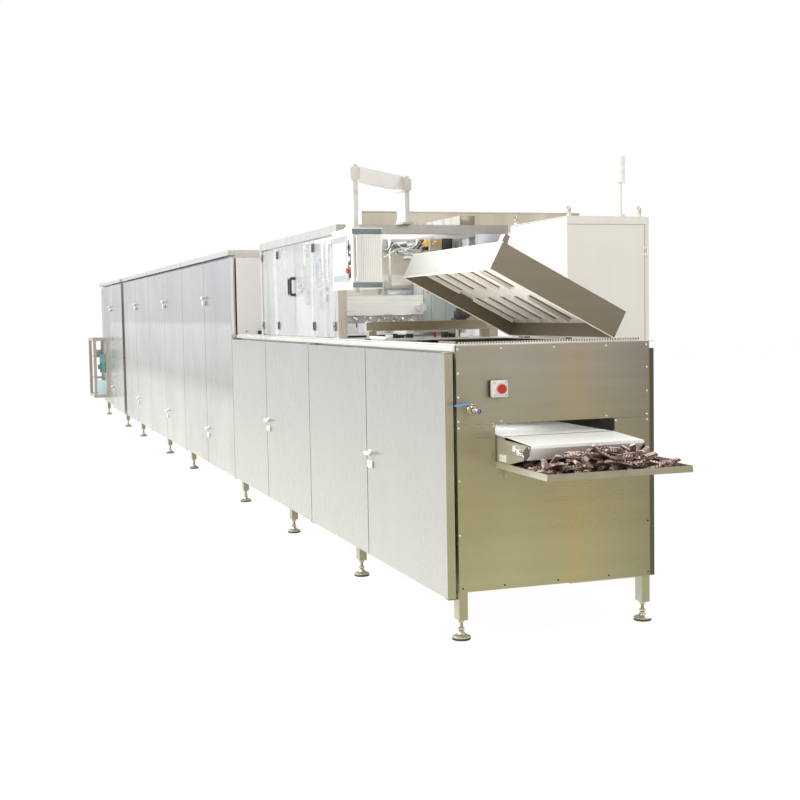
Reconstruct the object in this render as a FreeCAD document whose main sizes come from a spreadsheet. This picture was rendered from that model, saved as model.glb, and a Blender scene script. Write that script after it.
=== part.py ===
import FreeCAD, Part
import os
import re
import Sketcher
from FreeCAD import Rotation, Vector

# A chocolate moulding line: a low casing with the output end and the depositor,
# then four tall cooling units. Every place is measured from the front panel:
# X is 0 on its outer face and negative along the line, Y is 0 on the door side
# and Z is 0 on the floor. Millimetres and degrees.

SIZES = {
    # casing
    "end_panel_long": 1310, "body_width": 950, "door_pitch": 1120, "end_door_pitch": 1290,
    "unit_gap": 260, "low_height": 1262, "tall_height": 1840, "roof_band": 21,
    "roof_thick": 39, "roof_overhang": 12, "roof_seam": 4, "casing_floor": 209, "sheet": 3,
    "pan_depth": 24, "pan_sheet": 2, "end_wall": 30, "coil_wide": 560, "coil_tall": 320,
    "fan_radius": 120, "fan_rim": 20,
    "passage_low": 1040, "passage_high": 1250,
    # frame, legs and feet
    "post_x": 60, "post_y": 40, "tube_wall": 2, "rail_size": 40, "rail_inset": 4,
    "leg_bottom": 88, "foot_radius": 40, "foot_rod_radius": 8,
    "foot_pad": 8, "foot_dome": 14, "foot_neck_radius": 14, "nut_radius": 14,
    "nut_height": 12, "front_gap": 4, "low_post_1": 1480, "low_post_2": 2960,
    "tall_post_1": 2260, "tall_post_2": 3700, "tall_post_3": 5760, "end_post_1": 260,
    # doors, their hinges and latches
    "door_bottom": 185, "low_door_top": 1231, "door_gap": 8, "door_thick": 35,
    "door_stand": 10, "door_sheet": 2, "pin_radius": 4, "pin_inset": 8, "pin_play": 0.05,
    "pin_grip": 24, "bracket_thick": 3, "bracket_width": 40, "bracket_step": 2,
    "bracket_tab": 24, "latch_inset": 45, "low_latch_height": 710, "tall_latch_height": 478,
    "catch_height": 1560, "spindle_radius": 5, "latch_boss_radius": 16, "latch_boss": 14,
    "lever_length": 78, "lever_width": 15, "lever_thick": 10, "cam_length": 66,
    "cam_width": 12, "cam_thick": 3, "cam_gap": 2, "hasp_drop": 57, "hasp_long": 70,
    "hasp_tall": 34, "hasp_thick": 9,
    # front panel, its opening and the receiving tray
    "panel_seam": 926, "seam_gap": 1, "opening_left": 180,
    "opening_right": 752, "opening_floor": 757, "tray_reach": 507, "tray_left": 180,
    "tray_width": 654, "tray_floor": 738, "tray_lip": 27, "tray_sheet": 2,
    "heap_height": 95, "heap_spread": 78, "heap_ridge": 420, "heap_half": 318,
    "heap_base": 46, "heap_middle": 293, "heap_along": 208, "gusset_size": 60,
    "gusset_inset": 40, "gusset_thick": 3,
    # belt conveyor
    "belt_left": 190, "belt_width": 514, "belt_height": 877, "belt_thick": 2,
    "belt_fold": 81, "nose_reach": 340, "nose_height": 862, "nose_bar_radius": 4,
    "nose_under": 274, "nose_under_height": 795, "conveyor_back": 860, "side_plate": 4,
    "side_top": 867, "side_foot": 757, "side_step": 100, "bed_fold": 24, "roller_radius": 40,
    "roller_play": 0.3, "shaft_radius": 10, "shaft_play": 0.05, "carrier_1": 100,
    "carrier_2": 760,
    # emergency stop and air valve
    "stop_y": 187, "stop_z": 1078, "stop_box": 72, "stop_base": 16, "stop_cover": 34,
    "stop_head_radius": 20, "stop_head": 14, "stop_travel": 6, "stop_stem_radius": 9,
    "valve_y": 68, "valve_z": 990, "valve_radius": 11, "valve_reach": 90,
    "valve_flange_radius": 16, "valve_flange": 8, "valve_ball_radius": 15, "valve_stem": 46,
    "valve_ring_radius": 8, "valve_ring": 6, "bonnet_radius": 8, "bonnet": 23,
    "lever_gap": 1, "valve_hub": 4, "valve_pin_radius": 3, "valve_lever": 89,
    "valve_lever_wide": 12,
    # lid over the demoulding station
    "lid_near": 100, "lid_length": 1150, "lid_width": 675, "lid_depth": 134, "lid_sheet": 2,
    "lid_hinge_y": 812, "lid_hinge_z": 1272, "lid_open": 27.5, "lid_offset": 7,
    "baffle_rise": 75, "slot_rows": 2, "slot_count": 7, "slot_length": 250,
    "slot_width": 40, "flap_tall": 14, "lid_knuckle_radius": 6, "lid_knuckle": 24,
    "knuckle_play": 0.3, "lid_pin_radius": 2.5, "lid_hinge_1": 164, "lid_hinge_2": 634,
    "lid_hinge_3": 1118, "hinge_leaf": 34, "lid_channel": 50,
    # deck, moulds and chains
    "deck_near": 1262, "deck_thick": 3, "well_left": 110, "well_right": 790,
    "well_near": 66, "slide_near": 1300, "slide_long": 420, "slide_right": 330,
    "slide_thick": 5, "port_near": 2330, "port_long": 560, "port_left": 190,
    "port_wide": 560, "chain_height": 1190, "chain_left": 215, "chain_right": 720,
    "chain_width": 20, "chain_tall": 16, "guide_height": 24, "mould_near": 320,
    "mould_pitch": 322, "mould_length": 275, "mould_left": 190, "mould_wide": 575,
    "mould_tall": 26, "mould_count": 12, "cell_rows": 4, "cell_columns": 8,
    "cell_depth": 12, "cell_wall": 14, "sprocket_radius": 60, "sprocket_thick": 12,
    "chain_shaft_x": 210, "chain_back": 13700, "bed_plate": 6, "bed_plate_low": 1080,
    # guard over the depositor
    "guard_near": 1745, "guard_far": 3660, "guard_post": 50, "guard_top": 1896,
    "guard_wall": 3, "leaf_width": 445, "leaf_near": 1810, "leaf_gap": 10, "leaf_thick": 8,
    "leaf_y": 0, "leaf_bottom": 1276, "leaf_top": 1840, "leaf_hinge_low": 1337,
    "leaf_hinge_high": 1795, "knuckle_radius": 6, "knuckle_length": 16, "hinge_plate": 26,
    "hinge_plate_thick": 4, "handle_height": 1580, "handle_length": 118,
    "handle_reach": 40, "handle_bar": 12, "clear_thick": 8, "side_box_wide": 70,
    "side_box_long": 420, "side_box_low": 1560,
    # depositor
    "bed_near": 2150, "bed_length": 900, "bed_side": 18, "bed_inner": 110, "bed_right": 100,
    "bed_tall": 300, "block_low": 1400, "block_tall": 130, "hopper_wide": 520,
    "hopper_tall": 250, "hopper_wall": 6, "nozzle_margin": 20, "hopper_long": 460,
    "nozzle_bar": 22, "nozzle_stroke": 30, "nozzle_radius": 5, "nozzle_length": 26,
    "nozzle_count": 8, "lift_rod_radius": 8, "cylinder_radius": 28, "cylinder_long": 150,
    "arm_plate_x": 2000, "arm_plate_left": 126, "arm_plate_wide": 462,
    "arm_plate_low": 1398, "arm_plate_tall": 111, "arm_plate_thick": 30,
    "idler_radius": 24, "idler_long": 46,
    # cross channel and its clamp
    "channel_near": 1560, "channel_wide": 90, "channel_left": 130, "channel_long": 710,
    "channel_tall": 52, "channel_wall": 4, "channel_leg": 44, "clamp_y": 690,
    "clamp_wide": 70, "clamp_tall": 60, "clamp_cylinder_radius": 16,
    # swinging arm with the control box
    "arm_x": 1770, "arm_y": 396, "arm_column": 189, "arm_beam": 75, "arm_thick": 48,
    "box_x": 1290, "box_y": -49, "box_long": 355, "box_wide": 156, "box_low": 1532,
    "box_tall": 300, "box_wall": 3, "column_x": 136, "column_y": 26, "swivel_disc": 8,
    "swivel_radius": 12, "drop_inset": 22, "flange": 12,
    "flange_spread": 18, "button_x": 1152, "start_z": 1680, "stop_button_z": 1621,
    "knob_z": 1738, "button_radius": 11, "button_stem_radius": 6, "button_travel": 4,
    "button_cap": 8, "bezel_radius": 14, "screen_left": 1206, "screen_long": 236,
    "screen_low": 1566, "screen_tall": 236, "screen_step": 4, "grip_inset": 18,
    # ducts over the guard
    "trunk_left": 724, "trunk_wide": 92, "trunk_tall": 52, "duct_near": 2341,
    "duct_wide": 100, "duct_tall": 124, "duct_left": 330, "duct_right": 1780,
    "duct_sheet": 3,
    # electrical cabinet
    "cabinet_near": 850, "cabinet_long": 700, "cabinet_deep": 450, "cabinet_height": 1880,
    "cabinet_gap": 3, "cabinet_wall": 2, "cabinet_plinth": 100, "cabinet_door": 20,
    "mount_plate": 3, "tower_radius": 25, "tower_pole": 8, "tower_x": 905,
    "tower_y": 1285, "tower_lamp": 130, "tower_pole_long": 178, "eye_radius": 12,
    "cabinet_hinge_low": 250, "cabinet_hinge_high": 1680,
    # side drive of the last unit
    "drive_near": 13300, "drive_long": 700, "drive_reach": 240, "drive_low": 290,
    "drive_high": 1130, "drive_post": 40, "drive_panel": 4, "motor_radius": 52,
    "motor_low": 640, "motor_tall": 150, "gearbox": 110,
}

doc = FreeCAD.newDocument("MouldingLine")
sheet = doc.addObject("Spreadsheet::Sheet", "Sizes")
for row, (alias, value) in enumerate(SIZES.items(), start=1):
    sheet.set(f"A{row}", alias)
    sheet.set(f"B{row}", str(value))
    sheet.setAlias(f"B{row}", alias)
doc.recompute()

# The middle of the line's box on the floor is the origin.
BODY_LONG = "(10 * door_pitch + unit_gap + end_door_pitch + end_panel_long)"
FRONT_X = f"({BODY_LONG} - tray_reach) / 2"
LEFT_Y = "(drive_reach - duct_right) / 2"

TURNS = {"X": Rotation(Vector(0, 1, 0), 90), "Y": Rotation(Vector(1, 0, 0), -90), "Z": Rotation()}
nodes = []


def named(formula):
    """A formula with each sheet name written the way an expression needs it."""
    def full(word):
        return "Sizes." + word.group() if word.group() in SIZES else word.group()
    return re.sub(r"[a-z]\w*", full, str(formula))


def number(formula):
    return float(sheet.evalExpression(named(formula)))


def count(name):
    return int(number(name))


def bind(feature, prop, formula):
    feature.setExpression(prop, named(formula))


def place(feature, x, y, z):
    for prop, formula in (("x", x), ("y", y), ("z", z)):
        bind(feature, "Placement.Base." + prop, formula)


def turn(feature, axis, angle):
    """Turn a feature about its own origin, by the right hand about axis."""
    feature.Placement.Rotation = Rotation(axis, 10)
    bind(feature, "Placement.Rotation.Angle", angle)
    return feature


def block(x, y, z, length, depth, height):
    """A box from its low corner, with its size along X, Y and Z."""
    box = doc.addObject("Part::Box", "Block")
    for prop, formula in (("Length", length), ("Width", depth), ("Height", height)):
        bind(box, prop, formula)
    place(box, x, y, z)
    return box


def rod(axis, x, y, z, radius, length):
    """A cylinder from its start point along X, Y or Z."""
    cylinder = doc.addObject("Part::Cylinder", "Rod")
    cylinder.Placement.Rotation = TURNS[axis]
    bind(cylinder, "Radius", radius)
    bind(cylinder, "Height", length)
    place(cylinder, x, y, z)
    return cylinder


def cone(x, y, z, low_radius, high_radius, height):
    frustum = doc.addObject("Part::Cone", "Frustum")
    for prop, formula in (("Radius1", low_radius), ("Radius2", high_radius), ("Height", height)):
        bind(frustum, prop, formula)
    place(frustum, x, y, z)
    return frustum


def hexagon(x, y, z, radius, height):
    nut = doc.addObject("Part::Prism", "Nut")
    nut.Polygon = 6
    bind(nut, "Circumradius", radius)
    bind(nut, "Height", height)
    place(nut, x, y, z)
    return nut


def group(*members):
    compound = doc.addObject("Part::Compound", "Group")
    compound.Links = list(members)
    return compound


def join(*members):
    feature = doc.addObject("Part::MultiFuse", "Join")
    feature.Shapes = list(members)
    return feature


def cut(base, *tools):
    feature = doc.addObject("Part::Cut", "Cut")
    feature.Base = base
    feature.Tool = tools[0] if len(tools) == 1 else join(*tools)
    return feature


def common(base, tool):
    feature = doc.addObject("Part::Common", "Common")
    feature.Base = base
    feature.Tool = tool
    return feature


def hollow(start, size, wall, open_sides):
    """A thin-walled box: open_sides names the faces without a wall, such as "+X -X"."""
    inner_start = []
    inner_size = []
    for axis, low, long in zip("XYZ", start, size):
        low_wall = f"-({wall})" if "-" + axis in open_sides else wall
        high_wall = f"-({wall})" if "+" + axis in open_sides else wall
        inner_start.append(f"{low} + {low_wall}")
        inner_size.append(f"{long} - ({low_wall}) - ({high_wall})")
    return cut(block(*start, *size), block(*inner_start, *inner_size))


def tube(axis, *corner_and_size, wall="tube_wall"):
    """A rectangular tube along X, Y or Z, open at both ends."""
    return hollow(corner_and_size[:3], corner_and_size[3:], wall, f"+{axis} -{axis}")


def profile(points, y, depth):
    """A plate whose outline is a sketch of (x, z) points, padded along +Y."""
    body = doc.addObject("PartDesign::Body", "Plate")
    outline = body.newObject("Sketcher::SketchObject", "Outline")
    plane = [item for item in body.Origin.OriginFeatures if item.Role == "XZ_Plane"][0]
    outline.AttachmentSupport = (plane, "")
    outline.MapMode = "FlatFace"
    corners = [Vector(number(x), number(z), 0) for x, z in points]
    for start, end in zip(corners, corners[1:] + corners[:1]):
        outline.addGeometry(Part.LineSegment(start, end))
    for index, point in enumerate(points):
        after = (index + 1) % len(points)
        outline.addConstraint(Sketcher.Constraint("Coincident", index, 2, after, 1))
        for kind, formula in zip(("DistanceX", "DistanceY"), point):
            tie = Sketcher.Constraint(kind, -1, 1, index, 1, number(formula))
            bind(outline, f"Constraints[{outline.addConstraint(tie)}]", formula)
    pad = body.newObject("PartDesign::Pad", "Thickness")
    pad.Profile = outline
    pad.Reversed = True
    bind(pad, "Length", depth)
    bind(body, "Placement.Base.y", y)
    return body


def node(name, *members):
    """One named sub-part, moved from the front panel's frame to the line's own."""
    compound = group(*members)
    compound.Label = name
    place(compound, FRONT_X, LEFT_Y, "0")
    nodes.append(compound)
    return compound


# Frame: posts that run down to the feet, rails along the line, cross members,
# and the doors' hinge brackets.
PANEL_RIGHT = "(body_width - pan_depth)"
RIGHT_ROW = "(body_width - pan_depth - post_y)"
TALL_NEAR = "4 * door_pitch"
TALL_FAR = "10 * door_pitch"
END_NEAR = "10 * door_pitch + unit_gap"
FRONT_POST = "(front_gap + post_x / 2)"
LOW_POSTS = [FRONT_POST, "low_post_1", "low_post_2", f"({TALL_NEAR} - post_x / 2)"]
POSTS = LOW_POSTS + [f"({TALL_NEAR} + tall_post_{index})" for index in (1, 2, 3)]
POSTS += [f"({END_NEAR} + end_post_1)", f"({BODY_LONG} - post_x)"]
ROWS = ("rail_inset", RIGHT_ROW)
CROSS_LONG = f"{RIGHT_ROW} - rail_inset - post_y"
CROSS_Y = "rail_inset + post_y"
BED_Z = "chain_height - guide_height - rail_size"
frame = []
for post in POSTS:
    post_top = "low_height" if post in LOW_POSTS else "tall_height"
    for row in ROWS:
        frame.append(tube("Z", f"-{post} - post_x / 2", row, "leg_bottom", "post_x", "post_y",
                          f"{post_top} - rail_size - leg_bottom"))
    for height in ("casing_floor", BED_Z):
        frame.append(tube("Y", f"-{post} - rail_size / 2", CROSS_Y, height,
                          "rail_size", CROSS_LONG, "rail_size"))
for near, far in zip(POSTS, POSTS[1:]):
    for row in ROWS:
        frame.append(tube("X", f"-{far} + post_x / 2", row, "casing_floor",
                          f"{far} - {near} - post_x", "rail_size", "rail_size"))
for near, far, top in (("sheet", TALL_NEAR, "low_height"), (TALL_NEAR, TALL_FAR, "tall_height"),
                       (END_NEAR, BODY_LONG, "tall_height")):
    for row in ROWS:
        frame.append(tube("X", f"-({far})", row, f"{top} - rail_size",
                          f"({far}) - ({near})", "rail_size", "rail_size"))
    for station in (near, f"{far} - rail_size"):
        frame.append(tube("Y", f"-({station}) - rail_size", "rail_inset + rail_size",
                          f"{top} - rail_size", "rail_size",
                          f"{RIGHT_ROW} - rail_inset - rail_size", "rail_size"))
for station in (TALL_NEAR, f"{TALL_FAR} - post_x", END_NEAR):
    for row in ROWS:
        frame.append(tube("Z", f"-({station}) - post_x", row, "casing_floor + rail_size",
                          "post_x", "post_y", "tall_height - 2 * rail_size - casing_floor"))
for row in ROWS:
    frame.append(tube("X", "-low_post_1 + post_x / 2", row, "side_foot - rail_size",
                      f"low_post_1 - {FRONT_POST} - post_x", "rail_size", "rail_size"))
for carrier in ("carrier_1", "carrier_2"):
    frame.append(tube("Y", f"-{carrier} - rail_size", "rail_inset + rail_size",
                      "side_foot - rail_size", "rail_size",
                      f"{RIGHT_ROW} - rail_inset - rail_size", "rail_size"))
SHAFT_Z = "chain_height - roller_play - sprocket_radius"
for row in (CROSS_Y, f"{RIGHT_ROW} - bed_plate"):
    frame.append(cut(block("-low_post_1 + rail_size / 2", row, "bed_plate_low",
                           f"low_post_1 - {FRONT_POST} - rail_size", "bed_plate",
                           "chain_height - bed_plate_low"),
                     rod("Y", "-chain_shaft_x", row, SHAFT_Z, "shaft_radius + shaft_play",
                         "bed_plate")))


def door_pins(edge, side):
    """The pivot line of a door from its edge: side is 1 where the door runs to -X."""
    return f"{edge} - {side} * pin_inset", "pin_inset - door_stand - door_thick"


def hinge_bracket(edge, side, shelf_z, tab_z, tab_tall):
    """A folded bracket on the rail's side face, with the hole for one door pin."""
    pin_x, pin_y = door_pins(edge, side)
    left = edge if side < 0 else f"{edge} - bracket_width"
    shelf = cut(block(left, "-door_stand - door_thick", shelf_z, "bracket_width",
                      "rail_inset + door_stand + door_thick", "bracket_thick"),
                rod("Z", pin_x, pin_y, shelf_z, "pin_radius + pin_play", "bracket_thick"))
    return join(shelf, block(left, "rail_inset - bracket_thick", tab_z, "bracket_width",
                             "bracket_thick", tab_tall))


# Doors: name, near edge, far edge, top of the door, and whether its near edge is hinged.
DOORS = []
for index in range(10):
    top = "low_door_top" if index < 4 else "tall_height"
    family = f"low_door_{index + 1}" if index < 4 else f"tall_door_{index - 3}"
    DOORS.append((family, f"{index} * door_pitch", f"{index + 1} * door_pitch", top, index % 2 == 0))
DOORS.append(("end_door", END_NEAR, f"{END_NEAR} + end_door_pitch", "tall_height", True))


def hinge_edge(near, far, near_hinged):
    """The hinged edge of a door and its side, 1 where the door runs to -X from it."""
    if near_hinged:
        return f"-({near}) - door_gap / 2", 1
    return f"-({far}) + door_gap / 2", -1


for family, near, far, top, near_hinged in DOORS:
    edge, side = hinge_edge(near, far, near_hinged)
    low_shelf = "door_bottom - bracket_step - bracket_thick"
    high_shelf = f"{top} + bracket_step"
    frame.append(hinge_bracket(edge, side, low_shelf, low_shelf,
                               f"casing_floor + bracket_tab - ({low_shelf})"))
    frame.append(hinge_bracket(edge, side, high_shelf, f"{high_shelf} - bracket_tab",
                               "bracket_tab + bracket_thick"))
node("base_frame", *frame)

# Feet: a threaded rod and two nuts on each leg, a domed steel base and a rubber pad.
feet = []
pads = []
for post in POSTS:
    for row in ROWS:
        x = f"-{post}"
        y = f"{row} + post_y / 2"
        rod_low = "foot_pad + foot_dome"
        feet.append(join(
            cone(x, y, "foot_pad", "foot_radius", "foot_neck_radius", "foot_dome"),
            rod("Z", x, y, rod_low, "foot_rod_radius", f"leg_bottom - ({rod_low})"),
            hexagon(x, y, rod_low, "nut_radius", "nut_height"),
            hexagon(x, y, "leg_bottom - nut_height", "nut_radius", "nut_height")))
        feet.append(block(f"{x} - post_x / 2 + tube_wall", f"{row} + tube_wall", "leg_bottom",
                          "post_x - 2 * tube_wall", "post_y - 2 * tube_wall", "foot_pad"))
        pads.append(rod("Z", x, y, "0", "foot_radius", "foot_pad"))
node("levelling_feet", *feet)
node("foot_pads", *pads)

# Doors: a folded pan with a pivot pin at the top and bottom of its hinged edge.
# The leading door of each pair carries the latch spindle near the split.
for index, (family, near, far, top, near_hinged) in enumerate(DOORS):
    edge, side = hinge_edge(near, far, near_hinged)
    pin_x, pin_y = door_pins(edge, side)
    front = "-door_stand - door_thick"
    pan = hollow((f"-({far}) + door_gap / 2", front, "door_bottom"),
                 (f"({far}) - ({near}) - door_gap", "door_thick", f"{top} - door_bottom"),
                 "door_sheet", "+Y")
    pins = [rod("Z", pin_x, pin_y, low, "pin_radius", "pin_grip")
            for low in ("door_bottom - bracket_step - bracket_thick",
                        f"{top} + bracket_step + bracket_thick - pin_grip")]
    pan = join(pan, *pins)
    extras = []
    if near_hinged:
        latch_x = f"-({far}) + door_gap / 2 + latch_inset"
        latch_z = "low_latch_height" if index < 4 else "tall_latch_height"
        pan = cut(pan, rod("Y", latch_x, front, latch_z, "spindle_radius + pin_play",
                           "door_sheet"))
        hasp_x = f"{latch_x} - latch_inset / 2"
        extras.append(block(hasp_x, f"{front} - hasp_thick", f"{latch_z} - hasp_drop - hasp_tall / 2",
                            "hasp_long", "hasp_thick", "hasp_tall"))
        if index > 3:
            extras.append(rod("Y", latch_x, f"{front} - latch_boss", "catch_height",
                              "latch_boss_radius", "latch_boss"))
    node(family, pan, *extras)

# Latches: a lever on a boss outside the door, a spindle through it and a cam inside.
LATCHED = [door for door in DOORS if door[4]]
for index, (family, near, far, top, near_hinged) in enumerate(LATCHED):
    front = "-door_stand - door_thick"
    x = f"-({far}) + door_gap / 2 + latch_inset"
    z = "low_latch_height" if family.startswith("low") else "tall_latch_height"
    cam_y = "-door_stand + cam_gap"
    spindle = rod("Y", x, f"{front} - latch_boss", z, "spindle_radius",
                  f"door_thick + latch_boss + cam_gap + cam_thick")
    boss = rod("Y", x, f"{front} - latch_boss", z, "latch_boss_radius", "latch_boss")
    lever = block(f"{x} - lever_width / 2", f"{front} - latch_boss - lever_thick",
                  f"{z} - lever_width / 2", "lever_length", "lever_thick", "lever_width")
    cam = block(f"{x} - cam_width / 2", cam_y, f"{z} - cam_length", "cam_width", "cam_thick",
                "cam_length + cam_width / 2")
    node(f"latch_{family}", join(spindle, boss, lever, cam))

# Right-hand side panels, the fixed panel behind the drive, and the floor pans.
panels = []
for family, near, far, top, near_hinged in DOORS:
    panels.append(hollow((f"-({far}) + roof_seam / 2", PANEL_RIGHT, "casing_floor"),
                         (f"({far}) - ({near}) - roof_seam", "pan_depth", f"{top} - casing_floor"),
                         "pan_sheet", "-Y"))
LAST_NEAR = f"{END_NEAR} + end_door_pitch"
LAST_LONG = f"{BODY_LONG} - ({LAST_NEAR}) - door_gap / 2"
panels.append(hollow((f"-{BODY_LONG}", PANEL_RIGHT, "casing_floor"),
                     (LAST_LONG, "pan_depth", "tall_height - casing_floor"), "pan_sheet", "-Y"))
panels.append(cut(hollow((f"-{BODY_LONG}", "rail_inset - door_thick", "casing_floor"),
                         (LAST_LONG, "door_thick", "tall_height - casing_floor"), "pan_sheet",
                         "+Y"),
                  block(f"-({LAST_NEAR}) - door_gap / 2 - pan_sheet", "-door_stand",
                        "tall_latch_height - cam_length", "pan_sheet", "cam_thick + 2 * cam_gap",
                        "cam_length + cam_width")))
for near, far in (("sheet", TALL_NEAR), (TALL_NEAR, TALL_FAR), (END_NEAR, f"{BODY_LONG} - sheet")):
    panels.append(block(f"-({far})", CROSS_Y, "casing_floor + rail_size", f"({far}) - ({near})",
                        f"{RIGHT_ROW} - rail_inset - post_y", "sheet"))
node("side_and_floor_panels", *panels)

# Front panel: two sheets that meet at the top of the output opening.
node("front_panel_upper",
     block("-sheet", "rail_inset", "panel_seam + seam_gap", "sheet", f"{PANEL_RIGHT} - rail_inset",
           "low_height - panel_seam - seam_gap"))
node("front_panel_lower",
     cut(block("-sheet", "rail_inset", "casing_floor", "sheet", f"{PANEL_RIGHT} - rail_inset",
               "panel_seam - casing_floor"),
         block("-sheet", "opening_left", "opening_floor", "sheet", "opening_right - opening_left",
               "panel_seam - opening_floor")))

# Top deck: plates round the demoulding well, the deck under the guard with the
# nozzles' port, and the white slide plate for the moulds.
DECK = "low_height"
deck = [
    cut(block("-4 * door_pitch", "0", DECK, "4 * door_pitch - deck_near", "body_width", "deck_thick"),
        block("-port_near - port_long", "port_left", DECK, "port_long", "port_wide", "deck_thick")),
    block("-deck_near", "0", DECK, "deck_near - well_near", "well_left", "deck_thick"),
    block("-deck_near", "well_right", DECK, "deck_near - well_near", "body_width - well_right",
          "deck_thick"),
    block("-well_near", "0", DECK, "well_near", "body_width", "deck_thick"),
    block("-slide_near - slide_long", "rail_inset", f"{DECK} + deck_thick", "slide_long",
          "slide_right", "slide_thick"),
]
DECK_TOP = "low_height + deck_thick"
LID_HINGES = ("lid_hinge_1", "lid_hinge_2", "lid_hinge_3")
for hinge in LID_HINGES:
    halves = [rod("X", f"-{hinge} - lid_knuckle", "lid_hinge_y", "lid_hinge_z", "lid_pin_radius",
                  "2 * lid_knuckle")]
    for x in (f"-{hinge} - lid_knuckle", f"-{hinge} + lid_knuckle / 2"):
        halves.append(rod("X", x, "lid_hinge_y", "lid_hinge_z", "lid_knuckle_radius",
                          "lid_knuckle / 2"))
        halves.append(block(x, "lid_hinge_y", DECK_TOP, "lid_knuckle / 2", "hinge_leaf",
                            "lid_knuckle_radius"))
    deck.append(join(*halves))
node("top_deck", *deck)

# Cooling units: insulated end walls, ceiling panels, and a coil with its fan ring in each.
tunnel = []
WALL_LOW = "casing_floor + rail_size + sheet"
WALL_TOP = "tall_height - rail_size"
for station, stretches in ((TALL_NEAR, [(DECK_TOP, WALL_TOP)]),
                           (f"{TALL_FAR} - end_wall", [(WALL_LOW, "passage_low"),
                                                       ("passage_high", WALL_TOP)]),
                           (END_NEAR, [(WALL_LOW, "passage_low"), ("passage_high", WALL_TOP)]),
                           (f"{BODY_LONG} - end_wall", [(WALL_LOW, WALL_TOP)])):
    for low, high in stretches:
        tunnel.append(block(f"-({station}) - end_wall", CROSS_Y, low, "end_wall", CROSS_LONG,
                            f"{high} - ({low})"))
tunnel.append(block("-4 * door_pitch", "0", DECK_TOP, "end_wall / 2", "body_width",
                    f"tall_height - ({DECK_TOP})"))
for unit in range(3):
    middle = f"-(4 + 2 * {unit} + 1) * door_pitch"
    coil_z = "tall_height - coil_tall"
    tunnel.append(hollow((f"{middle} - coil_wide / 2", CROSS_Y, coil_z),
                         ("coil_wide", CROSS_LONG, "coil_tall"), "sheet", ""))
    tunnel.append(cut(rod("Z", middle, "body_width / 2", f"{coil_z} - end_wall", "fan_radius",
                          "end_wall"),
                      rod("Z", middle, "body_width / 2", f"{coil_z} - end_wall",
                          "fan_radius - fan_rim", "end_wall")))
node("cooling_tunnel", *tunnel)

# Roof caps: one folded sheet per unit over a recessed band.
caps = []
for near, far in [(f"(4 + 2 * {unit}) * door_pitch", f"(6 + 2 * {unit}) * door_pitch")
                  for unit in range(3)] + [(END_NEAR, BODY_LONG)]:
    x = f"-({far}) + roof_seam / 2"
    long = f"({far}) - ({near}) - roof_seam"
    caps.append(block(x, "-door_stand - door_thick - roof_overhang", "tall_height + roof_band",
                      long, "body_width + door_stand + door_thick + 2 * roof_overhang",
                      "roof_thick"))
    caps.append(block(x, "rail_inset", "tall_height", long, "body_width - 2 * rail_inset",
                      "roof_band"))
node("roof_caps", *caps)

# Belt conveyor: side plates with a slider bed, a thin nose bar and the drive roller.
ROLLER_X = "-conveyor_back + roller_radius + side_plate"
ROLLER_Z = "belt_height - belt_thick - roller_play - roller_radius"
RETURN_Z = f"{ROLLER_Z} - roller_radius - roller_play"
BELT_RIGHT = "belt_left + belt_width"
SIDE_OUTLINE = [("-conveyor_back", "side_foot"), ("side_step", "side_foot"),
                ("nose_under", "nose_under_height"), ("nose_reach - belt_thick", "nose_height - 12"),
                ("nose_reach - belt_thick", "nose_height - 4"), ("0", "side_top"),
                ("-conveyor_back", "side_top")]
conveyor = []
for y in ("belt_left - belt_thick - side_plate", f"{BELT_RIGHT} + belt_thick"):
    conveyor.append(cut(profile(SIDE_OUTLINE, y, "side_plate"),
                        rod("Y", ROLLER_X, y, ROLLER_Z, "shaft_radius + shaft_play", "side_plate")))
INNER_Y = "belt_left - belt_thick"
INNER_LONG = "belt_width + 2 * belt_thick"
conveyor.append(hollow(("-conveyor_back + 3 * roller_radius", INNER_Y,
                        "belt_height - belt_thick - roller_play - bed_fold"),
                       ("conveyor_back - 3 * roller_radius + belt_fold", INNER_LONG, "bed_fold"),
                       "sheet", "-Z +X -X"))
conveyor.append(rod("Y", "nose_reach - belt_thick - 2 * nose_bar_radius - nose_bar_radius",
                    INNER_Y, "nose_height - belt_thick - 2 * nose_bar_radius", "nose_bar_radius",
                    INNER_LONG))
for x in ("-carrier_1 - rail_size / 2", "-carrier_2 - rail_size / 2"):
    conveyor.append(block(x, INNER_Y, "side_foot", "sheet", INNER_LONG, "rail_size / 2"))
node("conveyor_frame", *conveyor)

RUN_BACK = f"{ROLLER_X}"
outer = profile([(RUN_BACK, "belt_height"), ("belt_fold", "belt_height"),
                 ("nose_reach", "nose_height"), ("nose_reach", "nose_height - 12"),
                 ("nose_under", "nose_under_height"), (RUN_BACK, f"{RETURN_Z} - belt_thick")],
                "belt_left", "belt_width")
inner = profile([(RUN_BACK, "belt_height - belt_thick"), ("belt_fold", "belt_height - belt_thick"),
                 ("nose_reach - belt_thick", "nose_height - belt_thick"),
                 ("nose_reach - belt_thick", "nose_height - 12 + belt_thick / 2"),
                 ("nose_under - belt_thick / 2", "nose_under_height + belt_thick"),
                 (RUN_BACK, RETURN_Z)], "belt_left", "belt_width")
wrap = cut(rod("Y", ROLLER_X, "belt_left", ROLLER_Z, "roller_radius + roller_play + belt_thick",
               "belt_width"),
           rod("Y", ROLLER_X, "belt_left", ROLLER_Z, "roller_radius + roller_play", "belt_width"),
           block(ROLLER_X, "belt_left", f"{RETURN_Z} - belt_thick", "2 * roller_radius",
                 "belt_width", "3 * roller_radius"))
node("conveyor_belt", join(cut(outer, inner), wrap))

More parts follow.
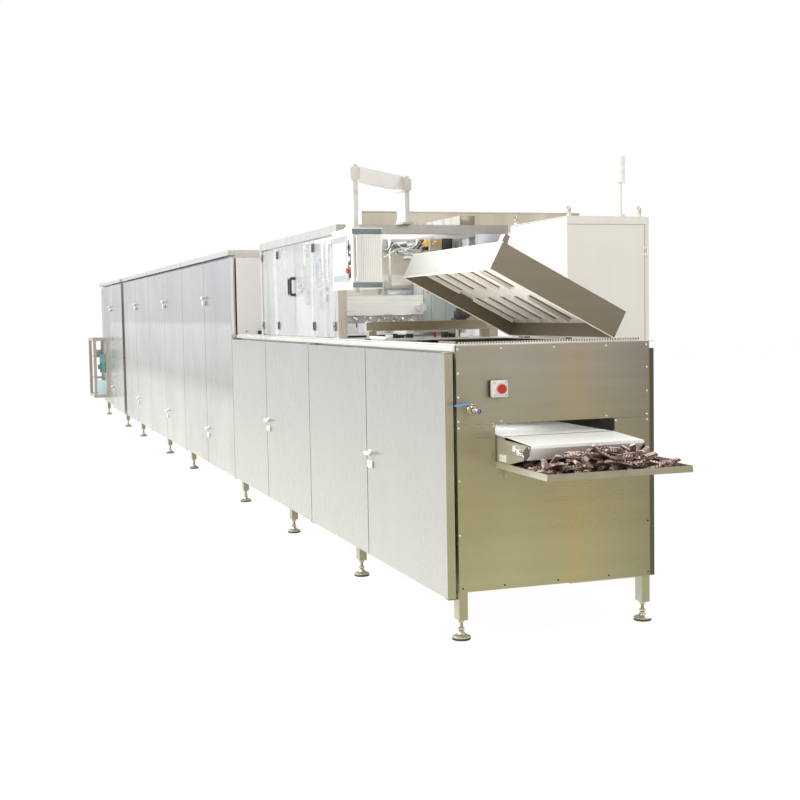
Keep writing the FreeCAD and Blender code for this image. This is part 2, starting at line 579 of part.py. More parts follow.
node("conveyor_drive_roller",
     join(rod("Y", ROLLER_X, "belt_left", ROLLER_Z, "roller_radius", "belt_width"),
          rod("Y", ROLLER_X, "belt_left - 4 * side_plate", ROLLER_Z, "shaft_radius",
              "belt_width + 8 * side_plate")))

# Receiving tray on two gussets, with the heap of moulded bars.
tray_low = ("0", "tray_left", "tray_floor")
tray_size = ("tray_reach", "tray_width", "tray_lip")
tray = [hollow(tray_low, tray_size, "tray_sheet", "+Z -X")]
for y in ("tray_left + gusset_inset", "tray_left + tray_width - gusset_inset - gusset_thick"):
    tray.append(profile([("0", "tray_floor - gusset_size"), ("gusset_size", "tray_floor"),
                         ("0", "tray_floor")], y, "gusset_thick"))
node("receiving_tray", *tray)


def mound(x, z, along, across, height):
    """Half an ellipsoid of piled bars on the tray's floor."""
    dome = doc.addObject("Part::Ellipsoid", "Mound")
    for prop, formula in (("Radius1", height), ("Radius2", along), ("Radius3", across)):
        bind(dome, prop, formula)
    dome.Angle1 = 0
    place(dome, x, "tray_left + tray_width / 2", z)
    return dome


FLOOR_TOP = "tray_floor + tray_sheet"
node("chocolate_heap",
     join(mound("heap_ridge", FLOOR_TOP, "heap_spread", "heap_half", "heap_height"),
          mound("heap_middle", FLOOR_TOP, "heap_along", "heap_half", "heap_base")))

# Emergency stop: a two-part box on the panel and a mushroom head on a stem.
STOP_LOW = ("stop_y - stop_box / 2", "stop_z - stop_box / 2")
cover = cut(block("stop_base", *STOP_LOW, "stop_cover", "stop_box", "stop_box"),
            rod("X", "stop_base", "stop_y", "stop_z", "stop_stem_radius + pin_play", "stop_cover"))
node("estop_box", block("0", *STOP_LOW, "stop_base", "stop_box", "stop_box"), cover)
STEM_X = "stop_base + stop_travel + 1"
HEAD_X = "stop_base + stop_cover + stop_travel + 1"
node("estop_button",
     join(rod("X", STEM_X, "stop_y", "stop_z", "stop_stem_radius", f"{HEAD_X} - ({STEM_X})"),
          rod("X", HEAD_X, "stop_y", "stop_z", "stop_head_radius", "stop_head")))

# Air valve: a flanged body straight out of the panel, and the lever on its stem.
STEM_Z = "valve_z + bonnet"
node("air_valve",
     join(rod("X", "0", "valve_y", "valve_z", "valve_flange_radius", "valve_flange"),
          rod("X", "0", "valve_y", "valve_z", "valve_radius", "valve_reach"),
          rod("X", "valve_stem - valve_ball_radius", "valve_y", "valve_z", "valve_ball_radius",
              "2 * valve_ball_radius"),
          rod("Z", "valve_stem", "valve_y", "valve_z", "bonnet_radius", "bonnet"),
          rod("Z", "valve_stem", "valve_y", STEM_Z, "valve_pin_radius",
              "lever_gap + 2 * valve_hub")),
     rod("X", "valve_reach", "valve_y", "valve_z", "valve_ring_radius", "valve_ring"))
LEVER_Z = f"{STEM_Z} + lever_gap"
node("air_valve_lever",
     cut(join(rod("Z", "valve_stem", "valve_y", LEVER_Z, "bonnet_radius", "valve_hub"),
              block("valve_stem - valve_lever_wide / 2", "valve_y - valve_lever", LEVER_Z,
                    "valve_lever_wide", "valve_lever", "valve_hub")),
         rod("Z", "valve_stem", "valve_y", LEVER_Z, "valve_pin_radius + pin_play", "valve_hub")))

# Lid: a deep sheet cover in the frame of its hinge line, turned open about it.
LID_FAR = "-lid_near - lid_length"
LID_LEFT = "-lid_offset - lid_width"


def open_lid(*members):
    """Lid pieces modelled closed, with the hinge line as their Y and Z origin."""
    lid = turn(group(*members), Vector(-1, 0, 0), "lid_open")
    place(lid, "0", "lid_hinge_y", "lid_hinge_z")
    return lid


shell = [hollow((LID_FAR, LID_LEFT, "0"), ("lid_length", "lid_width", "lid_depth"), "lid_sheet", "-Z")]
for hinge in LID_HINGES:
    middle = f"-{hinge} - lid_knuckle / 2 + knuckle_play"
    long = "lid_knuckle - 2 * knuckle_play"
    shell.append(cut(join(rod("X", middle, "0", "0", "lid_knuckle_radius", long),
                          block(middle, "-lid_offset - 2 * lid_sheet", "0", long,
                                "lid_offset + 2 * lid_sheet", "lid_sheet")),
                     rod("X", middle, "0", "0", "lid_pin_radius + pin_play", long)))
lid_body = join(*shell)
stub = hollow(("-3 * lid_near", f"{LID_LEFT} + lid_channel", "lid_depth"),
              ("lid_channel", "lid_channel / 2", "lid_channel + lid_channel / 2"),
              "tube_wall", "+Z -Z +Y")
node("lid_shell", open_lid(lid_body, stub))

slots = []
flaps = []
for column in range(count("slot_count")):
    for row in range(count("slot_rows")):
        x = f"{LID_FAR} + lid_length * ({column} + 0.5) / slot_count - slot_width / 2"
        y = f"{LID_LEFT} + lid_width * ({row} + 0.5) / slot_rows - slot_length / 2"
        slots.append(block(x, y, "baffle_rise", "slot_width", "slot_length", "lid_sheet"))
        flaps.append(block(f"{x} - lid_sheet", y, "baffle_rise - flap_tall", "lid_sheet",
                           "slot_length", "flap_tall + lid_sheet"))
baffle = cut(block(f"{LID_FAR} + lid_sheet", f"{LID_LEFT} + lid_sheet", "baffle_rise",
                   "lid_length - 2 * lid_sheet", "lid_width - 2 * lid_sheet", "lid_sheet"), *slots)
node("lid_baffle", open_lid(join(baffle, *flaps)))

# Moulds ride on two chains that run on guides and turn round the front sprockets.
CHAIN_FRONT = "-chain_shaft_x"
CHAINS = ("chain_left", "chain_right")
chain = []
for y in CHAINS:
    chain.append(block("-chain_back", y, "chain_height - guide_height",
                       "chain_back - chain_shaft_x - sprocket_radius", "chain_width",
                       "guide_height"))
    for z in ("chain_height", f"{SHAFT_Z} - sprocket_radius - roller_play - chain_tall"):
        chain.append(block("-chain_back", y, z, "chain_back - chain_shaft_x", "chain_width",
                           "chain_tall"))
    for x, keep in ((CHAIN_FRONT, "0"), ("-chain_back", "-2 * sprocket_radius")):
        ring = cut(rod("Y", x, y, SHAFT_Z, "sprocket_radius + roller_play + chain_tall", "chain_width"),
                   rod("Y", x, y, SHAFT_Z, "sprocket_radius + roller_play", "chain_width"))
        chain.append(common(ring, block(f"{x} + {keep}", y, f"{SHAFT_Z} - 2 * sprocket_radius",
                                        "2 * sprocket_radius", "chain_width",
                                        "4 * sprocket_radius")))
    chain.append(common(rod("Y", "-chain_back", y, SHAFT_Z, "sprocket_radius + roller_play",
                            "chain_width"),
                        block("-chain_back - 2 * sprocket_radius", y,
                              f"{SHAFT_Z} - 2 * sprocket_radius", "2 * sprocket_radius",
                              "chain_width", "4 * sprocket_radius")))
node("mould_chain", *chain)

sprockets = [rod("Y", CHAIN_FRONT, CROSS_Y, SHAFT_Z, "shaft_radius", CROSS_LONG)]
for y in CHAINS:
    sprockets.append(rod("Y", CHAIN_FRONT, f"{y} + (chain_width - sprocket_thick) / 2", SHAFT_Z,
                         "sprocket_radius", "sprocket_thick"))
node("chain_shaft", join(*sprockets))

moulds = []
for index in range(count("mould_count")):
    x = f"-mould_near - {index} * mould_pitch - mould_length"
    z = "chain_height + chain_tall"
    cells = []
    for row in range(count("cell_rows")):
        for column in range(count("cell_columns")):
            wide = "(mould_wide - cell_wall) / cell_columns"
            long = "(mould_length - cell_wall) / cell_rows"
            cells.append(block(f"{x} + cell_wall + {row} * {long}",
                               f"mould_left + cell_wall + {column} * {wide}",
                               f"{z} + mould_tall - cell_depth", f"{long} - cell_wall",
                               f"{wide} - cell_wall", "cell_depth"))
    slab = block(x, "mould_left", z, "mould_length", "mould_wide", "mould_tall")
    moulds.append(cut(slab, *cells) if index < 3 else slab)
node("moulds", *moulds)

# Guard frame: square tube posts and beams over the depositor, the column of the
# swinging arm on the front beam, and the pneumatics' box on the right.
SIDES = ("0", "body_width - guard_post")
ENDS = ("-guard_near - guard_post", "-guard_far")
BEAM_Z = "guard_top - guard_post"
guard = []
for x in ENDS:
    for y in SIDES:
        guard.append(tube("Z", x, y, DECK_TOP, "guard_post", "guard_post",
                          f"{BEAM_Z} - ({DECK_TOP})", wall="guard_wall"))
    guard.append(tube("Y", x, "0", BEAM_Z, "guard_post", "body_width", "guard_post",
                      wall="guard_wall"))
for y in SIDES:
    guard.append(tube("X", "-guard_far + guard_post", y, BEAM_Z,
                      "guard_far - guard_near - 2 * guard_post", "guard_post", "guard_post",
                      wall="guard_wall"))
guard.append(block("-leaf_near + leaf_gap", "leaf_y", DECK_TOP,
                   "leaf_near - leaf_gap - guard_near - guard_post", "guard_wall",
                   f"{BEAM_Z} - ({DECK_TOP})"))
guard.append(block("-guard_far + guard_post", "leaf_y", DECK_TOP,
                   "guard_far - guard_post - leaf_near - 4 * leaf_width - leaf_gap", "guard_wall",
                   f"{BEAM_Z} - ({DECK_TOP})"))
guard.append(block("-guard_near - side_box_long", "body_width", "side_box_low", "side_box_long",
                   "side_box_wide", "guard_top - side_box_low"))
column = ("-arm_x - column_x / 2", "arm_y - column_y / 2")
guard.append(join(
    block("-arm_x - column_x / 2 - flange_spread", "arm_y - column_y / 2 - flange_spread",
          "guard_top", "column_x + 2 * flange_spread", "column_y + 2 * flange_spread", "flange"),
    block(*column, "guard_top", "column_x", "column_y",
          "arm_column - swivel_disc")))

# Folding leaves: two pairs of clear sheets on knuckle hinges. Each outer leaf swings
# from its post and each inner leaf folds back on it.


def barrels(x, y, low, steps):
    """The knuckles of a three-part barrel hinge, at steps 0, 1 or 2 above low."""
    return [rod("Z", x, y, f"{low} + {step} * knuckle_length + knuckle_play", "knuckle_radius",
                "knuckle_length - 2 * knuckle_play") for step in steps]


def hinge_half(x, y, side, plate_y, fixed):
    """Half of the two black hinges on a vertical line: side 1 lies towards +X of it."""
    pieces = []
    start = f"{x} + knuckle_radius / 2" if side > 0 else f"{x} - knuckle_radius / 2 - hinge_plate"
    for height in ("leaf_hinge_low", "leaf_hinge_high"):
        low = f"{height} - 1.5 * knuckle_length"
        plate = block(start, plate_y, low, "hinge_plate", "hinge_plate_thick", "3 * knuckle_length")
        own, other = ((0, 2), (1,)) if fixed else ((1,), (0, 2))
        relief = [rod("Z", x, y, f"{low} + {step} * knuckle_length - knuckle_play",
                      "knuckle_radius + knuckle_play", "knuckle_length + 2 * knuckle_play")
                  for step in other]
        pieces.append(cut(join(plate, *barrels(x, y, low, own)), *relief))
    return pieces


POST_HINGE_Y = "leaf_y - hinge_plate_thick"
FOLD_HINGE_Y = "leaf_y + leaf_thick + hinge_plate_thick"
for edge, side in (("leaf_near", 1), ("leaf_near + 4 * leaf_width", -1)):
    guard.extend(hinge_half(f"-({edge})", POST_HINGE_Y, side, POST_HINGE_Y, True))
node("guard_frame", *guard)


def leaf(name, number_from_near, post_side, fold_side, fold_fixed, handle_side=0):
    near = f"leaf_near + {number_from_near} * leaf_width"
    far = f"leaf_near + {number_from_near + 1} * leaf_width"
    pane = block(f"-({far}) + leaf_gap / 2", "leaf_y", "leaf_bottom", "leaf_width - leaf_gap",
                 "leaf_thick", "leaf_top - leaf_bottom")
    pieces = [pane]
    if post_side:
        edge = near if post_side > 0 else far
        pieces.extend(hinge_half(f"-({edge})", POST_HINGE_Y, -post_side, POST_HINGE_Y, False))
    edge = near if fold_side > 0 else far
    pieces.extend(hinge_half(f"-({edge})", FOLD_HINGE_Y, -fold_side, "leaf_y + leaf_thick",
                             fold_fixed))
    if handle_side:
        x = f"-({near}) - 2 * handle_bar" if handle_side > 0 else f"-({far}) + handle_bar"
        low = "handle_height - handle_length / 2"
        pieces.append(cut(
            block(x, "leaf_y - handle_reach", low, "handle_bar", "handle_reach", "handle_length"),
            block(x, "leaf_y - handle_reach + handle_bar", f"{low} + handle_bar", "handle_bar",
                  "handle_reach", "handle_length - 2 * handle_bar")))
    node(name, *pieces)


leaf("guard_leaf_1", 0, 1, -1, True)
leaf("guard_leaf_2", 1, 0, 1, False, handle_side=-1)
leaf("guard_leaf_3", 2, 0, -1, False, handle_side=1)
leaf("guard_leaf_4", 3, -1, 1, True)

# Fixed clear panels on the right, at the far end and over the top.
inner_long = "guard_far - guard_near - 2 * guard_post"
node("guard_clear_panels",
     block("-guard_far + guard_post", "body_width - guard_post / 2", DECK_TOP, inner_long,
           "clear_thick", f"{BEAM_Z} - ({DECK_TOP})"),
     block("-guard_far + guard_post / 2", "guard_post", DECK_TOP, "clear_thick",
           "body_width - 2 * guard_post", f"{BEAM_Z} - ({DECK_TOP})"))

# Depositor: side frames, the heated piston block, the reaching arm plate and cylinders.
BED_FAR = "-bed_near - bed_length"
BLOCK_X = "-bed_near - (bed_length + hopper_long) / 2"
depositor = []
BED_WIDE = "(body_width - bed_inner - bed_right)"
for y in ("bed_inner - bed_side", f"bed_inner + {BED_WIDE}"):
    depositor.append(block(BED_FAR, y, DECK_TOP, "bed_length", "bed_side", "bed_tall"))
    depositor.append(rod("Z", f"{BLOCK_X} + hopper_long / 2", f"{y} + bed_side / 2",
                         f"{DECK_TOP} + bed_tall", "cylinder_radius", "cylinder_long"))
depositor.append(cut(
    block(BLOCK_X, "bed_inner", "block_low", "hopper_long", BED_WIDE, "block_tall"),
    *[rod("Z", f"{BLOCK_X} + hopper_long / 2", y, "block_low", "lift_rod_radius + shaft_play",
          "block_tall") for y in ("2 * bed_inner", BED_WIDE)]))
depositor.append(block("-arm_plate_x - arm_plate_thick", "arm_plate_left", "arm_plate_low",
                       "arm_plate_thick", "arm_plate_wide", "arm_plate_tall"))
for y in ("arm_plate_left", "arm_plate_left + arm_plate_wide - bed_side"):
    depositor.append(block(f"{BLOCK_X} + hopper_long", y, "arm_plate_low + bed_side",
                           f"-arm_plate_x - arm_plate_thick - ({BLOCK_X}) - hopper_long",
                           "bed_side", "arm_plate_tall / 2"))
depositor.append(rod("X", "-arm_plate_x", "arm_plate_left + arm_plate_wide - idler_radius",
                     "arm_plate_low + arm_plate_tall / 3", "idler_radius", "idler_long"))
for index in range(3):
    depositor.append(rod("Y", f"{BLOCK_X} + hopper_long + cylinder_radius",
                         f"bed_inner + {BED_WIDE} / 2",
                         f"block_low + block_tall / 2 + {index} * 2 * cylinder_radius",
                         "cylinder_radius", "cylinder_long"))
depositor.append(block(f"{BLOCK_X} + hopper_long - bed_side",
                       f"bed_inner + {BED_WIDE} / 2 - bed_side",
                       "block_low + block_tall", "bed_side", "cylinder_long",
                       "2 * bed_side + 4 * cylinder_radius - block_tall / 2 + cylinder_radius"))
node("depositor_body", *depositor)

HOPPER_Z = "block_low + block_tall"
HOPPER_Y = "body_width / 2 - hopper_wide / 2"
node("depositor_hopper",
     cut(block(BLOCK_X, HOPPER_Y, HOPPER_Z, "hopper_long - 2 * bed_side", "hopper_wide",
               "hopper_tall"),
         block(f"{BLOCK_X} + hopper_wall", f"{HOPPER_Y} + hopper_wall",
               f"{HOPPER_Z} + hopper_wall", "hopper_long - 2 * bed_side - 2 * hopper_wall",
               "hopper_wide - 2 * hopper_wall", "hopper_tall")))

NOZZLE_Z = "block_low - nozzle_stroke - nozzle_bar"
nozzles = [block(f"{BLOCK_X} + nozzle_margin", "port_left + nozzle_margin", NOZZLE_Z,
                 "hopper_long - 2 * nozzle_margin", "port_wide - 2 * nozzle_margin", "nozzle_bar")]
for y in ("2 * bed_inner", BED_WIDE):
    nozzles.append(rod("Z", f"{BLOCK_X} + hopper_long / 2", y, f"{NOZZLE_Z} + nozzle_bar",
                       "lift_rod_radius", "nozzle_stroke + block_tall / 2"))
for column in range(count("nozzle_count")):
    nozzles.append(rod("Z", f"{BLOCK_X} + hopper_long / 2",
                       f"port_left + port_wide * ({column} + 0.5) / nozzle_count",
                       f"{NOZZLE_Z} - nozzle_length", "nozzle_radius", "nozzle_length"))
node("depositor_nozzle_bar", join(*nozzles))

# Cross channel over the moulds on two legs, with the clamp block and its cylinder.
CHANNEL_Z = f"{DECK_TOP} + channel_leg"
channel_x = "-channel_near - channel_wide"
clamp = [hollow((channel_x, "channel_left", CHANNEL_Z),
                ("channel_wide", "channel_long", "channel_tall"), "channel_wall", "+X +Y -Y")]
for y, seat in (("channel_left", "slide_thick"),
                ("channel_left + channel_long - channel_leg", "0")):
    clamp.append(block(channel_x, y, f"{DECK_TOP} + {seat}", "channel_wide / 2", "channel_leg",
                       f"channel_leg - {seat}"))
clamp_z = f"{CHANNEL_Z} + channel_tall"
clamp.append(block(f"{channel_x} + channel_wall", "clamp_y", clamp_z, "clamp_wide", "clamp_wide",
                   "clamp_tall"))
clamp.append(rod("Z", f"{channel_x} + channel_wide / 2", "clamp_y + clamp_wide / 2",
                 f"{clamp_z} + clamp_tall", "clamp_cylinder_radius", "clamp_tall"))
node("cross_channel", *clamp)

# Swinging arm: a head on the column, the slanting beam and the head over the box.
ARM_Z = "(guard_top + arm_column)"
heads = []
for x, y in (("-arm_x", "arm_y"), ("-box_x", "box_y")):
    heads.append(block(f"{x} - column_x / 2", f"{y} - column_y / 2", ARM_Z, "column_x",
                       "column_y", "arm_beam"))
    heads.append(rod("Z", x, y, f"{ARM_Z} - swivel_disc", "swivel_radius", "swivel_disc"))
slant = turn(group(block("0", "-arm_thick / 2", "0",
                         "sqrt((arm_x - box_x)^2 + (arm_y - box_y)^2)", "arm_thick", "arm_beam")),
             Vector(0, 0, -1), "atan((arm_y - box_y) / (arm_x - box_x))")
place(slant, "-arm_x", "arm_y", ARM_Z)
node("hmi_arm", join(slant, *heads))

# Control box: a shell on a drop column, a raised screen frame, a grip and bezels.
BOX_X = "-box_x - box_long / 2"
BOX_Y = "box_y + drop_inset - box_wide / 2"
controls = [("start_z", "hmi_start_button"), ("stop_button_z", "hmi_stop_button"),
            ("knob_z", "hmi_selector_knob")]
case = hollow((BOX_X, BOX_Y, "box_low"), ("box_long", "box_wide", "box_tall"), "box_wall", "")
holes = [rod("Y", "-button_x", BOX_Y, z, "button_stem_radius + pin_play", "box_wall")
         for z, name in controls]
drop = tube("Z", "-box_x - column_x / 2", "box_y - column_y / 2", "box_low + box_tall",
            "column_x", "column_y", f"{ARM_Z} - swivel_disc - box_low - box_tall",
            wall="guard_wall")
bezels = [cut(rod("Y", "-button_x", f"{BOX_Y} - button_travel", z, "bezel_radius", "button_travel"),
              rod("Y", "-button_x", f"{BOX_Y} - button_travel", z, "button_radius + knuckle_play",
                  "button_travel")) for z, name in controls]
screen = block("-screen_left - screen_long", f"{BOX_Y} - screen_step", "screen_low", "screen_long",
               "screen_step", "screen_tall")
grip = cut(block("-box_x + box_long / 2", f"{BOX_Y} + grip_inset", "box_low + grip_inset * 2",
                 "grip_inset", "grip_inset", "box_tall - grip_inset * 4"),
           block("-box_x + box_long / 2", f"{BOX_Y} + grip_inset", "box_low + grip_inset * 3",
                 "grip_inset / 2", "grip_inset", "box_tall - grip_inset * 6"))
node("hmi_box", cut(case, *holes), drop, screen, grip, *bezels)

for z, name in controls:
    travel = "button_travel" if name != "hmi_selector_knob" else "0"
    cap_y = f"{BOX_Y} - {travel} - button_cap"
    stem = rod("Y", "-button_x", cap_y, z, "button_stem_radius",
               f"button_cap + {travel} + 2 * box_wall")
    cap = rod("Y", "-button_x", cap_y, z, "button_radius", "button_cap - knuckle_play")
    parts = [stem, cap]
    if name == "hmi_selector_knob":
        parts.append(block("-button_x - button_stem_radius / 2", f"{cap_y} - button_cap / 2",
                           f"{z} - button_radius", "button_stem_radius", "button_cap / 2",
                           "2 * button_radius"))
    if name == "hmi_stop_button":
        parts.append(rod("Y", "-button_x", f"{cap_y} - button_cap", z, "bezel_radius", "button_cap"))
    node(name, join(*parts))

# Ducts: a cable trunk along the guard's top into the cross duct and its floor riser.
duct_x = "-duct_near - duct_wide"
duct_size = ("duct_wide", "duct_right - duct_left", "duct_tall")
node("overhead_ducts",
     hollow(("-duct_near", "trunk_left", "guard_top"),
            ("duct_near - guard_near", "trunk_wide", "trunk_tall"), "duct_sheet", "-X"),
     hollow((duct_x, "duct_left", "guard_top"), duct_size, "duct_sheet", ""),
     tube("Z", duct_x, "duct_right - duct_wide", "0", "duct_wide", "duct_wide", "guard_top",
          wall="duct_sheet"))

# Electrical cabinet on a plinth, with a mounting plate, lifting eyes and the signal tower.
CAB_X = "-cabinet_near - cabinet_long"
CAB_Y = "body_width"
CAB_SIZE = ("cabinet_long", "cabinet_deep", "cabinet_height - cabinet_plinth")
cabinet = [hollow((CAB_X, CAB_Y, "cabinet_plinth"), CAB_SIZE, "cabinet_wall", "+Y"),
           hollow((CAB_X, CAB_Y, "0"), ("cabinet_long", "cabinet_deep", "cabinet_plinth"),
                  "cabinet_wall", "+Z -Z"),
           block(f"{CAB_X} + 10 * cabinet_wall", f"{CAB_Y} + cabinet_wall",
                 "cabinet_plinth + 10 * cabinet_wall", "cabinet_long - 20 * cabinet_wall",
                 "mount_plate", "cabinet_height - cabinet_plinth - 20 * cabinet_wall")]
for x in (f"{CAB_X} + 2 * eye_radius", "-cabinet_near - 2 * eye_radius"):
    for y in (f"{CAB_Y} + 2 * eye_radius", f"{CAB_Y} + cabinet_deep - 2 * eye_radius"):
        cabinet.append(rod("Z", x, y, "cabinet_height", "eye_radius", "eye_radius"))
tower = [rod("Z", "-tower_x", "tower_y", "cabinet_height", "tower_radius", "eye_radius"),
         rod("Z", "-tower_x", "tower_y", "cabinet_height + eye_radius", "tower_pole",
             "tower_pole_long - eye_radius"),
         rod("Z", "-tower_x", "tower_y", "cabinet_height + tower_pole_long", "tower_radius",
             "tower_lamp")]
DOOR_Y = f"{CAB_Y} + cabinet_deep"
HINGE_X = "-cabinet_near + knuckle_radius"
HINGE_Y = f"{DOOR_Y} + cabinet_door / 2"
LEVELS = ("cabinet_hinge_low", "cabinet_hinge_high")
for low in LEVELS:
    for step in (0, 2):
        seat = block("-cabinet_near", f"{DOOR_Y} - hinge_plate / 2",
                     f"{low} + {step} * knuckle_length + knuckle_play", "knuckle_radius",
                     "hinge_plate / 2 + cabinet_door / 2", "knuckle_length - 2 * knuckle_play")
        cabinet.append(join(seat, *barrels(HINGE_X, HINGE_Y, low, (step,))))
node("electrical_cabinet", *cabinet, *tower)

tongues = []
for low in LEVELS:
    tongue = block("-cabinet_near - cabinet_gap", f"{HINGE_Y} - hinge_plate_thick / 2",
                   f"{low} + knuckle_length + knuckle_play", "cabinet_gap + knuckle_radius",
                   "hinge_plate_thick", "knuckle_length - 2 * knuckle_play")
    tongues.append(join(tongue, *barrels(HINGE_X, HINGE_Y, low, (1,))))
node("electrical_cabinet_door",
     hollow((f"{CAB_X} + cabinet_gap", DOOR_Y, "cabinet_plinth + cabinet_gap"),
            ("cabinet_long - 2 * cabinet_gap", "cabinet_door",
             "cabinet_height - cabinet_plinth - 2 * cabinet_gap"), "cabinet_wall", "-Y"),
     block(f"{CAB_X} + 4 * eye_radius", f"{DOOR_Y} + cabinet_door", "cabinet_height / 2",
           "2 * eye_radius", "eye_radius", "10 * eye_radius"),
     *tongues)

# Side drive of the last unit: an open frame with a clear front, and the gear motor.
DRIVE_X = "-drive_near - drive_long"
DRIVE_Y = "-drive_reach"
INNER_FACE = "rail_inset - door_thick"
drive = []
for x in (DRIVE_X, "-drive_near - drive_post"):
    for y in (DRIVE_Y, f"{INNER_FACE} - drive_post"):
        drive.append(tube("Z", x, y, "drive_low + drive_post", "drive_post", "drive_post",
                          "drive_high - drive_low - 2 * drive_post"))
    for z in ("drive_low", "drive_high - drive_post"):
        drive.append(tube("Y", x, DRIVE_Y, z, "drive_post", f"{INNER_FACE} + drive_reach",
                          "drive_post"))
for y in (DRIVE_Y, f"{INNER_FACE} - drive_post"):
    for z in ("drive_low", "drive_high - drive_post"):
        drive.append(tube("X", f"{DRIVE_X} + drive_post", y, z, "drive_long - 2 * drive_post",
                          "drive_post", "drive_post"))
drive.append(block(f"{DRIVE_X} + drive_post", f"{INNER_FACE} - drive_panel",
                   "drive_low + drive_post", "drive_long - 2 * drive_post", "drive_panel",
                   "drive_high - drive_low - 2 * drive_post"))
node("drive_guard", *drive)

MOTOR_X = "-drive_near - 2 * motor_radius"
MOTOR_Y = f"{INNER_FACE} - drive_panel - gearbox / 2"
node("gear_motor",
     join(rod("Z", MOTOR_X, MOTOR_Y, "motor_low", "motor_radius", "motor_tall"),
          block(f"{MOTOR_X} - gearbox / 2", f"{MOTOR_Y} - gearbox / 2", "motor_low + motor_tall",
                "gearbox", "gearbox", "gearbox")))

doc.recompute()
for item in doc.Objects:
    state = [word for word in item.State if word in ("Invalid", "Error")]
    if state:
        raise RuntimeError(f"{item.Name} {item.Label}: {state}")
for item in nodes:
    if item.Shape.isNull() or not item.Shape.isValid() or not item.Shape.Solids:
        raise RuntimeError(f"bad shape: {item.Label}")

os.makedirs("parts", exist_ok=True)
for item in nodes:
    item.Shape.exportStep(os.path.join("parts", item.Label + ".step"))
print(len(nodes), "nodes,", sum(len(item.Shape.Solids) for item in nodes), "solids")
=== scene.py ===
import math
import random

import bmesh
import bpy
from mathutils import Euler, Matrix, Vector


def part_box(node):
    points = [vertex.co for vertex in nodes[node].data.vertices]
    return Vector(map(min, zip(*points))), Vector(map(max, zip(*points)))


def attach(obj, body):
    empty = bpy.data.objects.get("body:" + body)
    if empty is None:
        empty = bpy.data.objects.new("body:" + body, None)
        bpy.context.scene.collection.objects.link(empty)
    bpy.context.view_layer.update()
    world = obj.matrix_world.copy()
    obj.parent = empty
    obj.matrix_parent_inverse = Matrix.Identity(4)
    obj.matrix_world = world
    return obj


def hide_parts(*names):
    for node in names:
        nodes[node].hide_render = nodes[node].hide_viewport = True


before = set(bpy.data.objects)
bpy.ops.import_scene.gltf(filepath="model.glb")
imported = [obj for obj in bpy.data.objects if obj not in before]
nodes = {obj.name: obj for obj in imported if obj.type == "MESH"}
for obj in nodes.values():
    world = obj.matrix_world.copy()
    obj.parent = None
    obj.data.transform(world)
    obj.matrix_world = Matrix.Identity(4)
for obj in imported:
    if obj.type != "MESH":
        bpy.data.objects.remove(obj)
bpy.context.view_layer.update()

# The camera stands off the output end at chest height, looking along the door
# side. Places are in metres from the front panel's face (x), the door side of
# the deck (y) and the floor (z).
front_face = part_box("front_panel_upper")[1].x
door_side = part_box("top_deck")[0].y


def at(x, y, z):
    return Vector((front_face + x, door_side + y, z))


yaw, dip, roll = (math.radians(angle) for angle in (18.8815, 3.9088, -1.0148))
forward = Vector((-math.cos(yaw) * math.cos(dip), math.sin(yaw) * math.cos(dip), -math.sin(dip)))
level = Vector((math.sin(yaw), math.cos(yaw), 0))
upright = level.cross(forward)
camera_right = math.cos(roll) * level + math.sin(roll) * upright
camera_up = math.cos(roll) * upright - math.sin(roll) * level
camera = bpy.data.objects.new("camera", bpy.data.cameras.new("camera"))
camera.data.lens = 57.10
camera.data.sensor_width = 36
camera.data.clip_end = 200
camera.matrix_world = (Matrix.Translation(at(4.9778, -1.9506, 1.4041))
                       @ Matrix((camera_right, camera_up, -forward)).transposed().to_4x4())
bpy.context.scene.collection.objects.link(camera)
bpy.context.scene.camera = camera
bpy.context.scene.view_settings.view_transform = "Standard"


# Plain studio: a white surround, a pale floor that takes a soft shadow, a broad
# key from the door side and a weaker light towards the output end.
def add(tree, kind, inputs=None, **settings):
    """A shader node with its settings and inputs, each a value or another node's socket."""
    made = tree.nodes.new(kind)
    for name, value in settings.items():
        setattr(made, name, value)
    for name, value in (inputs or {}).items():
        if isinstance(value, bpy.types.NodeSocket):
            tree.links.new(value, made.inputs[name])
        else:
            made.inputs[name].default_value = value
    return made


def seen_white(tree):
    """1 for what the camera, a gloss or a clear sheet shows, and 0 for light on a surface."""
    path = add(tree, "ShaderNodeLightPath")
    gloss = add(tree, "ShaderNodeMath", {0: path.outputs["Is Camera Ray"],
                                         1: path.outputs["Is Glossy Ray"]}, operation="MAXIMUM")
    return add(tree, "ShaderNodeMath", {0: gloss.outputs[0],
                                        1: path.outputs["Is Transmission Ray"]},
               operation="MAXIMUM").outputs[0]


world = bpy.data.worlds.new("studio")
bpy.context.scene.world = world
world.use_nodes = True
sky = world.node_tree
sky.nodes.clear()
surround = add(sky, "ShaderNodeBackground", {"Color": (0.95, 0.97, 1.0, 1), "Strength": 0.62})
plain = add(sky, "ShaderNodeBackground", {"Color": (1, 1, 1, 1), "Strength": 1.0})
both = add(sky, "ShaderNodeMixShader", {0: seen_white(sky), 1: surround.outputs[0],
                                        2: plain.outputs[0]})
add(sky, "ShaderNodeOutputWorld", {"Surface": both.outputs[0]})


def lamp(name, place, target, size, power, tint=(1, 1, 1)):
    light = bpy.data.lights.new(name, "AREA")
    light.shape = "DISK"
    light.size = size
    light.energy = power
    light.color = tint
    holder = bpy.data.objects.new(name, light)
    way = Vector(target) - Vector(place)
    holder.matrix_world = Matrix.Translation(place) @ way.to_track_quat("-Z",
                                                                        "Y").to_matrix().to_4x4()
    holder.visible_camera = False
    bpy.context.scene.collection.objects.link(holder)


